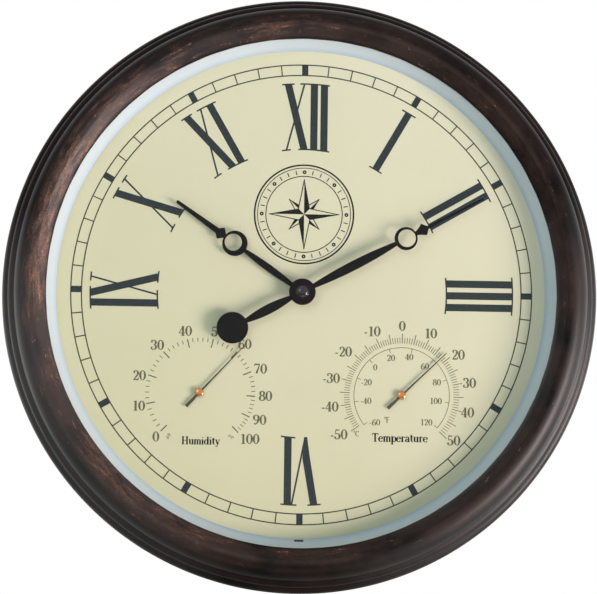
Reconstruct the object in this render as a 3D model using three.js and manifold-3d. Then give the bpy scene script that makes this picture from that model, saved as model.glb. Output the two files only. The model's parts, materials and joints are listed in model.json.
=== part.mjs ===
// Round outdoor wall clock, 610 mm across, with a thermometer and a hygrometer in its dial.
// Millimetres. The model is built facing +Z with +Y up, z counted from the wall. The last lines turn
// it so that +Z is up and the front looks along -Y, with the origin in the middle of the clock.
import * as THREE from "three";
import { mergeVertices } from "three/addons/utils/BufferGeometryUtils.js";
import Module from "manifold-3d";

const wasm = await Module();
wasm.setup();

// General
const gap = 0.3; // between pieces that rest on or in each other
const looseFit = 0.5; // round the large discs inside the frame
const ringSides = 48; // facets of the large round pieces
const smallSides = 20; // facets of the small ones

// Frame
const sightRadius = 257; // inner edge of the frame, round the glass
const frameWidth = 48; // from the inner edge to the widest point, near the wall
const rimWidth = 6; // flat at the wall
const rimRounding = 2;
const baseRollWidth = 6.7; // the roll next to the wall
const baseRollHeight = 23.5;
const beadWidth = 8; // the second, smaller roll
const beadHeight = 16;
const beadInset = 0.9; // how far inside the foot of the base roll it stays
const crestInset = 16.5; // from the sight edge to the crest of the main roll
const crestRise = 8; // crest above the sight edge
const coneWidth = 11; // straight slope between the sight edge and the crest
const lipThickness = 2;
const lipOverlap = 6.8; // glass hidden under the lip
const frameWall = 3;
const skirtBelowDial = 3; // the inner wall ends this far behind the dial

// Stack of discs, counted from the wall
const backRecess = 5; // back cover in from the wall
const backPlate = 2.5;
const coverSealThickness = 1;
const coverSealWidth = 7;
const dialBackDepth = 30; // back of the dial from the wall
const dialThickness = 1;
const innerRingHeight = 17.3;
const innerRingWall = 1.5;
const innerRingStep = 8.3; // the white ring shows this much less of the dial than the frame would
const innerRingTuck = 0.6; // and starts this far behind the frame's edge
const drainSlotWidth = 9.3;
const drainSlotHeight = 4.6;
const glassThickness = 3;
const lensSealThickness = 1;
const dialSealThickness = 0.8;
const dialSealWidth = 4.5;
const spacerWall = 3;
const spacerInset = 8.8; // in from the edge of the glass

// Back cover, its screws, the hanger and the vents
const screwCount = 6;
const bossRadius = 4.5;
const screwRadius = 1.5;
const screwLength = 14;
const screwHeadRadius = 4;
const screwHeadHeight = 2.2;
const crossSlotWidth = 1;
const crossSlotDepth = 1.1;
const hangerInset = 24; // from the spacer to the middle of the hanger
const hangerWidth = 70;
const hangerTall = 30;
const hangerThickness = 1.5;
const hangerScrewInset = 7;
const keyholeRadius = 5;
const keyholeSlotRadius = 2.8;
const keyholeSlotRise = 10;
const pocketWidth = 34;
const pocketTall = 26;
const pocketDepth = 8;
const pocketWall = 2;
const ventCount = 4;
const ventLength = 26;
const ventWidth = 3;
const ventPitch = 7;

// Movement cover on the back
const accessSide = 66; // square opening in the back cover
const accessCorner = 1;
const accessDrop = 6; // its centre is below the clock's axis
const lidOverlap = 12;
const lidThickness = 2.2;
const lidSetIn = 0.7; // in from the wall, so that only the frame touches it
const lidCorner = 6;
const lidCollarWall = 2;
const lidCollarHeight = 5;
const lidSealWidth = 6;
const fingerNotchRadius = 7;

// Quartz movement
const movementSide = 56;
const movementDepth = 18.5;
const movementAxisFromTop = 22;
const caseWall = 1.5;
const movementBackPlate = 1.2;
const bushingRadius = 4;
const bushingBore = 3;
const bushingLength = 8; // in front of the housing
const cushionThickness = 1; // rubber washer behind the dial
const cushionRadius = 11;
const washerThickness = 0.6;
const washerRadius = 9;
const nutThickness = 2.5;
const nutAcrossFlats = 12;
const hourTubeRadius = 2.7;
const hourTubeBore = 1.75;
const minuteArborRadius = 1.45;
const batteryRadius = 7;
const batteryLength = 49.2;
const batteryNubRadius = 2.75;
const batteryNubLength = 1.3;
const contactThickness = 0.5;
const contactWidth = 10;
const bayWall = 1.2;

// Gears: teeth, module, and the axial room of each level
const motionModule = 0.5;
const cannonTeeth = 10;
const minuteWheelTeeth = 30;
const minutePinionTeeth = 8;
const hourWheelTeeth = 32;
const knobTeeth = 10;
const trainModule = 0.25;
const centreTeeth = 60;
const thirdPinionTeeth = 8;
const thirdTeeth = 64;
const secondPinionTeeth = 8;
const secondTeeth = 48;
const intermediatePinionTeeth = 8;
const intermediateTeeth = 40;
const rotorPinionTeeth = 8;
const gearFace = 1.2;
const trainFace = 0.8;
const levelStep = 2;
const trainArbor = 0.6;
const rotorMagnetRadius = 2.2;
const rotorMagnetHeight = 3;
const knobRadius = 6.5;
const knobHeight = 3;
const knobStemRadius = 1.8;

// Motor and circuit
const coilRadius = 3.2;
const coilLength = 18;
const coreHalf = 1.2;
const statorThickness = 1.2;
const boardWidth = 20;
const boardTall = 9;
const boardThickness = 1;

// Hands, with lengths from the clock's axis
const handThickness = 1;
const collarHeight = 1.6;
const hubRadius = 9;
const hourHandReach = 157.3;
const hourRingReach = 84.3;
const hourRingRadius = 12.9;
const hourRingHole = 8.7;
const hourRingHoleShift = 2;
const hourDiamondReach = 102;
const hourDiamondWidth = 13.6;
const hourNeedleWidth = 6;
const hourLeafWidth = 7.1;
const minuteHandReach = 208.5;
const minuteRingReach = 118.9;
const minuteRingRadius = 11.8;
const minuteRingHole = 9;
const minuteRingHoleShift = 1;
const minuteDiamondReach = 139.5;
const minuteDiamondWidth = 13;
const minuteNeedleWidth = 3.6;
const minuteLeafWidth = 9.6;
const handTipWidth = 2.4;
const leafRootWidth = 4.4;
const leafEndWidth = 4.4;
const neckWidth = 4.2;
const diamondLength = 13;
const counterweightReach = 79.5;
const counterweightRadius = 16;
const tailLeafWidth = 9.7;
const handsGap = 3.2; // between the hour hand and the minute hand
const capRadius = 13.6;
const capHeight = 5.2;
const capKnobRadius = 6.4;
const capBrim = 1.2;
const minuteAngle = 61.9; // clockwise from twelve
const hourAngle = 300 + minuteAngle / 12; // ten hours, and the minutes' share

// Gauges
const gaugeSpread = 102.4; // pivots left and right of the clock's axis
const gaugeDrop = 103; // and below it
const gaugeStaffRadius = 0.9;
const gaugeStaffCollar = 2.2;
const gaugeHole = 2.5;
const bracketLength = 34;
const bracketWidth = 12;
const bracketDepth = 12.5;
const bracketWall = 1.2;
const coilStrip = 0.6;
const coilStripWidth = 5;
const coilPitch = 2.4;
const coilTurns = 3;
const pointerLift = 2.2; // pointer above the dial
const pointerThickness = 0.5;
const pointerReach = 63;
const pointerTail = 19.3;
const pointerTailWidth = 3.4;
const pointerRootWidth = 2;
const pointerTipWidth = 0.8;
const pointerHub = 3;
const pointerCapRadius = 4.4;
const pointerCapHeight = 2.2;
const humidityAngle = 43;
const temperatureAngle = 46.2;

// Places worked out from the stack
const coverFront = backRecess + backPlate;
const coverSealBack = coverFront + gap;
const ledge = coverSealBack + coverSealThickness + gap;
const dialFront = dialBackDepth + dialThickness;
const innerRingBack = dialFront + gap;
const innerRingFront = innerRingBack + innerRingHeight;
const glassBack = innerRingFront + gap;
const glassFront = glassBack + glassThickness;
const lensSealBack = glassFront + gap;
const lipBack = lensSealBack + lensSealThickness + gap;
const lipFront = lipBack + lipThickness;
const crest = lipFront + crestRise;
const frameRadius = sightRadius + frameWidth;
const glassRadius = sightRadius + lipOverlap;
const skirtRadius = glassRadius + looseFit;
const rebateRadius = frameRadius - rimRounding - rimWidth;
const coverRadius = rebateRadius - looseFit;
const grooveRadius = frameRadius - baseRollWidth - beadWidth;
const crestRadius = sightRadius + crestInset;
const screwCircle = (skirtRadius + grooveRadius) / 2;
const dialSightRadius = sightRadius - innerRingStep;
const spacerRadius = glassRadius - spacerInset;
const dialSealFront = dialBackDepth - gap;
const dialSealBack = dialSealFront - dialSealThickness;
const hangerPlace = { x: 0, y: spacerRadius - spacerWall - hangerInset };
const ventRadius = ventWidth / 2;
const lidSide = accessSide + 2 * lidOverlap;
const lidFront = lidSetIn + lidThickness;
const lidCollarEnd = backRecess + lidCollarHeight;

const cushionFront = dialBackDepth - gap;
const cushionBack = cushionFront - cushionThickness;
const housingFront = cushionBack - gap;
const housingBack = housingFront - movementDepth;
const housingInside = housingFront - caseWall;
const plateFront = housingBack + movementBackPlate;
const gearBack = plateFront + gap; // rear ends of the arbors
const batteryMiddle = housingInside - gap - batteryRadius;
const bushingEnd = housingFront + bushingLength;
const hourLevel = housingInside - caseWall / 3 - gearFace;
const minuteLevel = hourLevel - levelStep;
const centreLevel = minuteLevel - levelStep;
const thirdLevel = centreLevel - levelStep;
const secondLevel = thirdLevel - levelStep + 0.2;
const intermediateLevel = secondLevel - levelStep + 0.4;
const washerBack = dialFront + gap;
const nutBack = washerBack + washerThickness + gap;
const hourHandBack = bushingEnd + gap;
const hourTubeEnd = hourHandBack + collarHeight + gap;
const minuteHandBack = hourHandBack + handThickness + handsGap;
const capBack = minuteHandBack + handThickness + gap;
const arborEnd = capBack + capHeight / 2;

// Helpers: every piece is one closed body, and booleans go through a Manifold
const turn = (degrees) => (degrees * Math.PI) / 180;

function toSolid(geometry) {
  const bare = geometry.index ? geometry.toNonIndexed() : geometry.clone();
  bare.deleteAttribute("normal");
  bare.deleteAttribute("uv");
  const merged = mergeVertices(bare, 1e-4);
  const vertProperties = new Float32Array(merged.attributes.position.array);
  const triVerts = new Uint32Array(merged.index.array);
  const solid = new wasm.Manifold(new wasm.Mesh({ numProp: 3, vertProperties, triVerts }));
  if (solid.volume() >= 0) return solid;
  for (let i = 0; i < triVerts.length; i += 3) {
    [triVerts[i + 1], triVerts[i + 2]] = [triVerts[i + 2], triVerts[i + 1]];
  }
  return new wasm.Manifold(new wasm.Mesh({ numProp: 3, vertProperties, triVerts }));
}

function toGeometry(solid) {
  const mesh = solid.getMesh();
  const geometry = new THREE.BufferGeometry();
  const positions = new Float32Array(mesh.numVert * 3);
  for (let i = 0; i < mesh.numVert; i++) {
    positions.set(mesh.vertProperties.subarray(i * mesh.numProp, i * mesh.numProp + 3), i * 3);
  }
  geometry.setAttribute("position", new THREE.BufferAttribute(positions, 3));
  geometry.setIndex(new THREE.BufferAttribute(new Uint32Array(mesh.triVerts), 1));
  geometry.computeVertexNormals();
  return geometry;
}

// A solid of revolution about Z from [radius, z] points; a profile off the axis closes on itself
function revolve(points, sides = smallSides) {
  const profile = points.map(([r, z]) => new THREE.Vector2(r, z));
  const onAxis = points[0][0] === 0 && points[points.length - 1][0] === 0;
  if (!onAxis) profile.push(profile[0].clone());
  const geometry = new THREE.LatheGeometry(profile, sides);
  geometry.rotateX(Math.PI / 2);
  geometry.rotateZ(Math.PI / 2);
  return toSolid(geometry);
}

const ring = (inner, outer, back, front, sides = smallSides) =>
  revolve([[inner, back], [outer, back], [outer, front], [inner, front]], sides);

const disc = (radius, back, front, sides = smallSides) =>
  revolve([[0, back], [radius, back], [radius, front], [0, front]], sides);

function slab(shape, back, front, curveSegments = 6) {
  const options = { depth: front - back, bevelEnabled: false, curveSegments };
  const geometry = new THREE.ExtrudeGeometry(shape, options);
  geometry.translate(0, 0, back);
  return toSolid(geometry);
}

function box(width, height, back, front, x = 0, y = 0) {
  const geometry = new THREE.BoxGeometry(width, height, front - back);
  geometry.translate(x, y, (back + front) / 2);
  return toSolid(geometry);
}

// Points of an elliptical arc, in degrees, for use in profiles
function arc(centreR, centreZ, radiusR, radiusZ, from, to, steps) {
  return Array.from({ length: steps + 1 }, (_, i) => {
    const a = turn(from + ((to - from) * i) / steps);
    return [centreR + radiusR * Math.cos(a), centreZ + radiusZ * Math.sin(a)];
  });
}

function roundedRect(width, height, corner, x = 0, y = 0) {
  const [l, r, b, t] = [x - width / 2, x + width / 2, y - height / 2, y + height / 2];
  const shape = new THREE.Shape();
  shape.moveTo(l + corner, b);
  shape.lineTo(r - corner, b);
  shape.absarc(r - corner, b + corner, corner, -Math.PI / 2, 0);
  shape.lineTo(r, t - corner);
  shape.absarc(r - corner, t - corner, corner, 0, Math.PI / 2);
  shape.lineTo(l + corner, t);
  shape.absarc(l + corner, t - corner, corner, Math.PI / 2, Math.PI);
  shape.lineTo(l, b + corner);
  shape.absarc(l + corner, b + corner, corner, Math.PI, 1.5 * Math.PI);
  return shape;
}

const polygon = (points) => new THREE.Shape(points.map(([x, y]) => new THREE.Vector2(x, y)));

// Materials
const finish = (color, roughness, metalness = 0, extra = {}) =>
  new THREE.MeshStandardMaterial({ color, roughness, metalness, ...extra });
const materials = {
  bronze: finish(0x3a2b27, 0.38, 0.35),
  cream: finish(0xdcd8b6, 0.6),
  paleBlue: finish(0xd5dfe3, 0.5),
  glass: finish(0xffffff, 0.03, 0, { transparent: true, opacity: 0.2 }),
  rubber: finish(0x1c1c1c, 0.9),
  foam: finish(0x45464a, 0.95),
  blackPaint: finish(0x1b1a1a, 0.45),
  copper: finish(0xc07a45, 0.3, 1),
  darkBrass: finish(0x5d5636, 0.5, 0.6),
  brass: finish(0xb59a55, 0.35, 1),
  steel: finish(0x9a9da0, 0.35, 1),
  backPlastic: finish(0x2b2725, 0.6),
  movementPlastic: finish(0x17181a, 0.55),
  whitePlastic: finish(0xe6e3da, 0.55),
  enamel: finish(0x8a3b1e, 0.4, 0.4),
  board: finish(0x1f5a34, 0.5),
  batteryWrap: finish(0x8d9094, 0.4, 0.5),
};

const clock = new THREE.Group();

function add(name, solid, material, place = {}) {
  const mesh = new THREE.Mesh(toGeometry(solid), material);
  mesh.name = name;
  mesh.position.set(place.x ?? 0, place.y ?? 0, 0);
  mesh.rotation.z = -turn(place.clockwise ?? 0);
  clock.add(mesh);
  return mesh;
}

// Frame: base roll, bead and main roll outside, skirt and cavity inside, and the screw bosses
function buildFrame() {
  const baseCentre = baseRollHeight / 2;
  const beadOuter = frameRadius - baseRollWidth - beadInset;
  const beadCentre = baseRollHeight + beadHeight / 2;
  const rollFoot = baseRollHeight + beadHeight + 1.5;
  const rollWidth = grooveRadius - crestRadius;
  const rollHeight = crest - rollFoot;
  const coneTop = [sightRadius + coneWidth, crest - 1.3];
  const outside = [
    [frameRadius - rimRounding, 0],
    ...arc(frameRadius - baseRollWidth, baseCentre, baseRollWidth, baseCentre, -50, 75, 5),
    ...arc(beadOuter - beadWidth, beadCentre, beadWidth, beadHeight / 2, -68, 78, 4),
    ...arc(crestRadius, rollFoot, rollWidth, rollHeight, 0, 90, 6),
    coneTop,
    [sightRadius, lipFront],
    [sightRadius, lipBack],
    [skirtRadius, lipBack],
  ];
  const skirtEnd = dialBackDepth - skirtBelowDial;
  const inside = [
    [skirtRadius, skirtEnd],
    [skirtRadius + frameWall, skirtEnd],
    [skirtRadius + frameWall, crest - crestRise / 2],
    ...arc(crestRadius, rollFoot, rollWidth - frameWall, rollHeight - frameWall, 90, 0, 3),
    [grooveRadius - frameWall, ledge],
    [rebateRadius, ledge],
    [rebateRadius, 0],
  ];
  let frame = revolve([...outside, ...inside], ringSides);
  const bossReach = Math.min((screwCircle + bossRadius - crestRadius) / rollWidth, 0.95);
  const bossEnd = rollFoot + rollHeight * Math.sqrt(1 - bossReach ** 2) - frameWall / 3;
  for (let i = 0; i < screwCount; i++) {
    const [x, y] = screwPlace(i);
    const boss = disc(bossRadius, coverFront + gap, bossEnd, 10);
    const hole = disc(screwRadius + gap, coverFront, coverFront + screwLength, 8);
    frame = frame.add(boss.translate([x, y, 0])).subtract(hole.translate([x, y, 0]));
  }
  return frame;
}

function screwPlace(i) {
  const a = turn(90 + 360 / screwCount / 2 + (360 / screwCount) * i);
  return [screwCircle * Math.cos(a), screwCircle * Math.sin(a)];
}

// White ring between the glass and the dial, with its drain slot at six o'clock
function buildInnerRing() {
  const flange = glassRadius;
  const [back, front] = [innerRingBack, innerRingFront];
  const top = sightRadius + innerRingTuck;
  const wall = innerRingWall * 1.15; // the cone's wall, measured along the radius
  const section = [
    [dialSightRadius, back],
    [flange, back],
    [flange, back + innerRingWall],
    [dialSightRadius + wall + 1, back + innerRingWall],
    [top + wall - 0.5, front - innerRingWall],
    [flange, front - innerRingWall],
    [flange, front],
    [top, front],
  ];
  const slotBack = back + innerRingWall / 2;
  const slot = box(drainSlotWidth, 3 * innerRingStep, slotBack, slotBack + drainSlotHeight);
  return revolve(section, ringSides).subtract(slot.translate([0, -dialSightRadius, 0]));
}

function buildDial() {
  let dial = disc(glassRadius - gap, dialBackDepth, dialFront, ringSides);
  const shaftHole = disc(bushingRadius + gap, dialBackDepth - 1, dialFront + 1);
  dial = dial.subtract(shaftHole);
  for (const side of [-1, 1]) {
    const hole = disc(gaugeHole, dialBackDepth - 1, dialFront + 1, 12);
    dial = dial.subtract(hole.translate([side * gaugeSpread, -gaugeDrop, 0]));
  }
  return dial;
}

// Back cover with the access opening, the vents, the screw holes and the hanger's pocket
function buildBackCover() {
  const [back, front] = [backRecess, coverFront];
  const pocketFront = back + pocketDepth;
  const pocketShell = box(
    pocketWidth + 2 * pocketWall, pocketTall + 2 * pocketWall,
    back, pocketFront + pocketWall, hangerPlace.x, hangerPlace.y,
  );
  const pocket = box(pocketWidth, pocketTall, back - 1, pocketFront, hangerPlace.x, hangerPlace.y);
  let cover = disc(coverRadius, back, front, ringSides).add(pocketShell).subtract(pocket);
  const access = slab(roundedRect(accessSide, accessSide, accessCorner, 0, -accessDrop), back - 1, front + 1, 2);
  cover = cover.subtract(access);
  for (const side of [-1, 1]) {
    for (let i = 0; i < ventCount; i++) {
      const y = -gaugeDrop + (i - (ventCount - 1) / 2) * ventPitch;
      const slot = roundedRect(ventLength, ventWidth, ventRadius * 0.98, side * gaugeSpread, y);
      cover = cover.subtract(slab(slot, back - 1, front + 1, 2));
    }
  }
  for (let i = 0; i < screwCount; i++) {
    const [x, y] = screwPlace(i);
    cover = cover.subtract(disc(screwRadius + gap, back - 1, front + 1, 8).translate([x, y, 0]));
  }
  for (const side of [-1, 1]) {
    const pilot = disc(screwRadius + gap, back - 1, pocketFront + pocketWall + 1, 8);
    cover = cover.subtract(pilot.translate([hangerPlace.x + side * hangerScrewReach, hangerPlace.y, 0]));
  }
  return cover;
}

const hangerScrewReach = hangerWidth / 2 - hangerScrewInset;

// Pan-head screw whose shank points along +Z from the face at seat
function buildScrew(seat, length) {
  const headBack = seat - gap - screwHeadHeight;
  const section = [
    [0, headBack],
    [screwHeadRadius * 0.6, headBack],
    [screwHeadRadius * 0.93, headBack + screwHeadHeight * 0.35],
    [screwHeadRadius, seat - gap],
    [screwRadius, seat - gap],
    [screwRadius, seat + length - screwRadius],
    [0, seat + length],
  ];
  const reach = screwHeadRadius;
  const slotAcross = box(reach, crossSlotWidth, headBack - 1, headBack + crossSlotDepth);
  const slotDown = box(crossSlotWidth, reach, headBack - 1, headBack + crossSlotDepth);
  return revolve(section, 10).subtract(slotAcross.add(slotDown));
}

// Hanger plate with its keyhole: round hole below, slot above
function buildHanger() {
  const plate = roundedRect(hangerWidth, hangerTall, 4);
  const keyhole = new THREE.Path();
  const rise = Math.sqrt(keyholeRadius ** 2 - keyholeSlotRadius ** 2);
  const open = Math.atan2(rise, keyholeSlotRadius);
  const base = -keyholeSlotRise / 2;
  keyhole.absarc(0, base, keyholeRadius, Math.PI - open, open + 2 * Math.PI, false);
  keyhole.absarc(0, base + keyholeSlotRise, keyholeSlotRadius, 0, Math.PI, false);
  plate.holes.push(keyhole);
  for (const side of [-1, 1]) {
    const hole = new THREE.Path();
    hole.absarc(side * hangerScrewReach, 0, screwRadius + gap, 0, 2 * Math.PI);
    plate.holes.push(hole);
  }
  return slab(plate, hangerBack, hangerBack + hangerThickness, 6);
}

const hangerBack = backRecess - gap - hangerThickness;

// Movement cover: a flat lid at the wall, with a collar that enters the access opening
function buildLid() {
  const collarSide = accessSide - 2 * looseFit;
  const collar = box(collarSide, collarSide, lidFront - 0.5, lidCollarEnd, 0, -accessDrop);
  const hollowSide = collarSide - 2 * lidCollarWall;
  const hollow = box(hollowSide, hollowSide, lidFront, lidCollarEnd + 1, 0, -accessDrop);
  const notch = disc(fingerNotchRadius, lidSetIn - 1, lidFront + 1, 16);
  const outline = roundedRect(lidSide, lidSide, lidCorner, 0, -accessDrop);
  const lidPlate = slab(outline, lidSetIn, lidFront, 4);
  const notchDrop = -accessDrop - lidSide / 2 - fingerNotchRadius * 0.4;
  return lidPlate.add(collar).subtract(hollow).subtract(notch.translate([0, notchDrop, 0]));
}

function buildLidSeal() {
  const outer = roundedRect(accessSide + 2 * lidSealWidth, accessSide + 2 * lidSealWidth, 4, 0, -accessDrop);
  const innerSide = accessSide + 2 * gap;
  const inner = box(innerSide, innerSide, 0, backRecess, 0, -accessDrop);
  return slab(outer, lidFront + gap, backRecess - gap, 3).subtract(inner);
}

// Movement housing: gear room above, battery bay below, threaded bushing in front
const housingTop = movementAxisFromTop;
const housingBottom = movementAxisFromTop - movementSide;
const bayTall = 2 * batteryRadius + 1;
const bayCentre = housingBottom + caseWall + bayTall / 2;
const gearRoomBottom = bayCentre + bayTall / 2 + bayWall;
const bayLength = movementSide - 2 * bayWall;

function buildMovementBase() {
  const centre = (housingTop + housingBottom) / 2;
  const shell = box(movementSide, movementSide, plateFront, housingFront, 0, centre);
  const roomTall = housingTop - caseWall - gearRoomBottom;
  const roomCentre = (housingTop - caseWall + gearRoomBottom) / 2;
  const room = box(
    movementSide - 2 * caseWall, roomTall, plateFront - 1, housingInside, 0, roomCentre,
  );
  const bay = box(bayLength, bayTall, plateFront - 1, housingInside, 0, bayCentre);
  const bushing = disc(bushingRadius, housingInside, bushingEnd);
  const bore = disc(bushingBore, housingInside - 1, bushingEnd + 1);
  return shell.subtract(room).subtract(bay).add(bushing).subtract(bore);
}

function buildMovementBack() {
  const tall = housingTop - gearRoomBottom + bayWall / 2;
  const centre = (housingTop + gearRoomBottom - bayWall / 2) / 2;
  const plate = box(movementSide, tall, housingBack - gap, plateFront - gap, 0, centre);
  const hole = disc(knobStemRadius + gap, housingBack - 1, plateFront + 1, 12);
  return plate.subtract(hole.translate([knobAxis.x, knobAxis.y, 0]));
}

// Gear outline: flat-topped teeth, the first one centred on the +X axis
function gearShape(teeth, module) {
  const pitchRadius = (module * teeth) / 2;
  const [root, tip] = [pitchRadius - 1.05 * module, pitchRadius + 0.7 * module];
  const pitch = (2 * Math.PI) / teeth;
  const corners = [[-0.29, root], [-0.11, tip], [0.11, tip], [0.29, root]];
  const points = [];
  for (let i = 0; i < teeth; i++) {
    for (const [share, radius] of corners) {
      const a = (i + share) * pitch;
      points.push([radius * Math.cos(a), radius * Math.sin(a)]);
    }
  }
  return polygon(points);
}

// The fine train wheels have pointed teeth, two points each
function fineGearShape(teeth, module) {
  const pitchRadius = (module * teeth) / 2;
  const points = [];
  for (let i = 0; i < 2 * teeth; i++) {
    const radius = pitchRadius + (i % 2 ? -1.1 : 0.6) * module;
    const a = (i * Math.PI) / teeth;
    points.push([radius * Math.cos(a), radius * Math.sin(a)]);
  }
  return polygon(points);
}

// A gear at a level; toothAt is the direction, in degrees, that one tooth's centre points in
const gear = (teeth, back, toothAt) =>
  slab(gearShape(teeth, motionModule), back, back + gearFace).rotate([0, 0, toothAt]);
const fineGear = (teeth, back, toothAt) =>
  slab(fineGearShape(teeth, trainModule), back, back + trainFace).rotate([0, 0, toothAt]);

// Where a tooth of a second gear points when it meshes with a first one that has a tooth at toothAt;
// direction leads from the first gear's axis to the second's
const meshed = (teeth, toothAt, direction, otherTeeth) =>
  direction + 180 - (360 / otherTeeth) * (((toothAt - direction) * teeth) / 360 + 0.5);

// Axes of the wheels, each a centre distance away from the wheel that it meshes with
const from = (start, distance, direction) => ({
  x: start.x + distance * Math.cos(turn(direction)),
  y: start.y + distance * Math.sin(turn(direction)),
});
const axis = { x: 0, y: 0 };
const minuteDirection = 0;
const knobDirection = 0;
const thirdDirection = 135;
const secondDirection = 200;
const intermediateDirection = 270;
const rotorDirection = 335;
const motionDistance = ((cannonTeeth + minuteWheelTeeth) * motionModule) / 2;
const minuteAxis = from(axis, motionDistance, minuteDirection);
const knobDistance = ((minuteWheelTeeth + knobTeeth) * motionModule) / 2;
const knobAxis = from(minuteAxis, knobDistance, knobDirection);
const thirdDistance = ((centreTeeth + thirdPinionTeeth) * trainModule) / 2;
const thirdAxis = from(axis, thirdDistance, thirdDirection);
const secondDistance = ((thirdTeeth + secondPinionTeeth) * trainModule) / 2;
const secondAxis = from(thirdAxis, secondDistance, secondDirection);
const intermediateDistance = ((secondTeeth + intermediatePinionTeeth) * trainModule) / 2;
const intermediateAxis = from(secondAxis, intermediateDistance, intermediateDirection);
const rotorDistance = ((intermediateTeeth + rotorPinionTeeth) * trainModule) / 2;
const rotorAxis = from(intermediateAxis, rotorDistance, rotorDirection);

// The direction of one tooth of each gear, worked out from the gear that it meshes with
const tooth = { cannon: 0, minutePinion: 0, centre: 0, thirdWheel: 0, secondWheel: 0, intermediate: 0 };
tooth.minuteWheel = meshed(cannonTeeth, tooth.cannon, minuteDirection, minuteWheelTeeth);
tooth.hourWheel = meshed(minutePinionTeeth, tooth.minutePinion, minuteDirection + 180, hourWheelTeeth);
tooth.knob = meshed(minuteWheelTeeth, tooth.minuteWheel, knobDirection, knobTeeth);
tooth.thirdPinion = meshed(centreTeeth, tooth.centre, thirdDirection, thirdPinionTeeth);
tooth.secondPinion = meshed(thirdTeeth, tooth.thirdWheel, secondDirection, secondPinionTeeth);
tooth.intermediatePinion = meshed(
  secondTeeth, tooth.secondWheel, intermediateDirection, intermediatePinionTeeth,
);
tooth.rotor = meshed(intermediateTeeth, tooth.intermediate, rotorDirection, rotorPinionTeeth);

function buildMinuteArbor() {
  const shaft = disc(minuteArborRadius, centreLevel - gap, arborEnd, 16);
  return shaft.add(gear(cannonTeeth, minuteLevel, tooth.cannon));
}

function buildHourWheel() {
  const tube = ring(hourTubeBore, hourTubeRadius, hourLevel, hourTubeEnd, 20);
  const wheel = gear(hourWheelTeeth, hourLevel, tooth.hourWheel);
  return wheel.subtract(disc(hourTubeBore, hourLevel - 1, hourLevel + gearFace + 1, 20)).add(tube);
}

function buildMinuteWheel() {
  const wheel = gear(minuteWheelTeeth, minuteLevel, tooth.minuteWheel);
  const pinion = gear(minutePinionTeeth, hourLevel, tooth.minutePinion);
  const arbor = disc(1, gearBack, housingInside - gap, 10);
  return wheel.add(pinion).add(arbor);
}

function buildSettingKnob() {
  const pinion = gear(knobTeeth, minuteLevel, tooth.knob);
  const stem = disc(knobStemRadius, housingBack - gap - knobHeight, minuteLevel + gearFace, 12);
  const tip = disc(1, minuteLevel, housingInside - gap, 10);
  const flutes = 10;
  const outline = [];
  for (let i = 0; i < 2 * flutes; i++) {
    const radius = i % 2 ? knobRadius - 0.6 : knobRadius;
    const a = (i * Math.PI) / flutes;
    outline.push([radius * Math.cos(a), radius * Math.sin(a)]);
  }
  const knobFront = housingBack - 2 * gap;
  return slab(polygon(outline), knobFront - knobHeight, knobFront).add(stem).add(pinion).add(tip);
}

function buildTrainWheel(teeth, level, toothAt, pinion, pinionLevel, pinionAt, end) {
  const wheel = fineGear(teeth, level, toothAt);
  const leaf = fineGear(pinion, pinionLevel, pinionAt);
  const hub = disc(trainModule * 2.6, Math.min(level, pinionLevel), Math.max(level, pinionLevel), 8);
  return wheel.add(leaf).add(hub).add(disc(trainArbor, gearBack, end, 8));
}

function buildCentreWheel() {
  const hole = disc(minuteArborRadius + gap, centreLevel - 1, centreLevel + trainFace + 1, 16);
  return fineGear(centreTeeth, centreLevel, tooth.centre).subtract(hole);
}

function buildRotor() {
  const pinion = fineGear(rotorPinionTeeth, intermediateLevel, tooth.rotor);
  const magnetBack = intermediateLevel + trainFace + 1.2;
  const magnet = disc(rotorMagnetRadius, magnetBack, magnetBack + rotorMagnetHeight, 16);
  return pinion.add(magnet).add(disc(trainArbor, gearBack, housingInside - gap, 8));
}

// Stator plate round the rotor, with its core through the coil
const coilAxis = { x: 9, y: gearRoomBottom + coilRadius + gap };
function buildStator() {
  const back = intermediateLevel + trainFace + 1.2 + (rotorMagnetHeight - statorThickness) / 2;
  const pad = 2 * (rotorMagnetRadius + 1.8);
  const top = rotorAxis.y + pad / 2;
  const bottom = coilAxis.y - coreHalf;
  const yoke = box(pad, top - bottom, back, back + statorThickness, rotorAxis.x, (top + bottom) / 2);
  const coreEnd = coilAxis.x + coilLength / 2 + 2;
  const coreWidth = coreEnd - rotorAxis.x;
  const core = box(
    coreWidth, 2 * coreHalf, back, back + statorThickness, rotorAxis.x + coreWidth / 2, coilAxis.y,
  );
  const hole = disc(rotorMagnetRadius + gap, back - 1, back + statorThickness + 1, 16);
  return yoke.add(core).subtract(hole.translate([rotorAxis.x, rotorAxis.y, 0]));
}

function buildCoil() {
  const middle = intermediateLevel + trainFace + 1.2 + rotorMagnetHeight / 2;
  const winding = disc(coilRadius, -coilLength / 2, coilLength / 2, 14).rotate([0, 90, 0]);
  const hole = box(
    coilLength + 2, 2 * (coreHalf + gap),
    -statorThickness / 2 - gap, statorThickness / 2 + gap,
  );
  return winding.subtract(hole).translate([coilAxis.x, coilAxis.y, middle]);
}

function buildBattery() {
  const section = [
    [0, -batteryLength / 2],
    [batteryRadius, -batteryLength / 2],
    [batteryRadius, batteryLength / 2 - 0.5],
    [batteryRadius - 0.5, batteryLength / 2],
    [batteryNubRadius, batteryLength / 2],
    [batteryNubRadius, batteryLength / 2 + batteryNubLength],
    [0, batteryLength / 2 + batteryNubLength],
  ];
  const shift = -batteryNubLength / 2;
  return revolve(section, 20).rotate([0, 90, 0]).translate([shift, bayCentre, batteryMiddle]);
}

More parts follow.
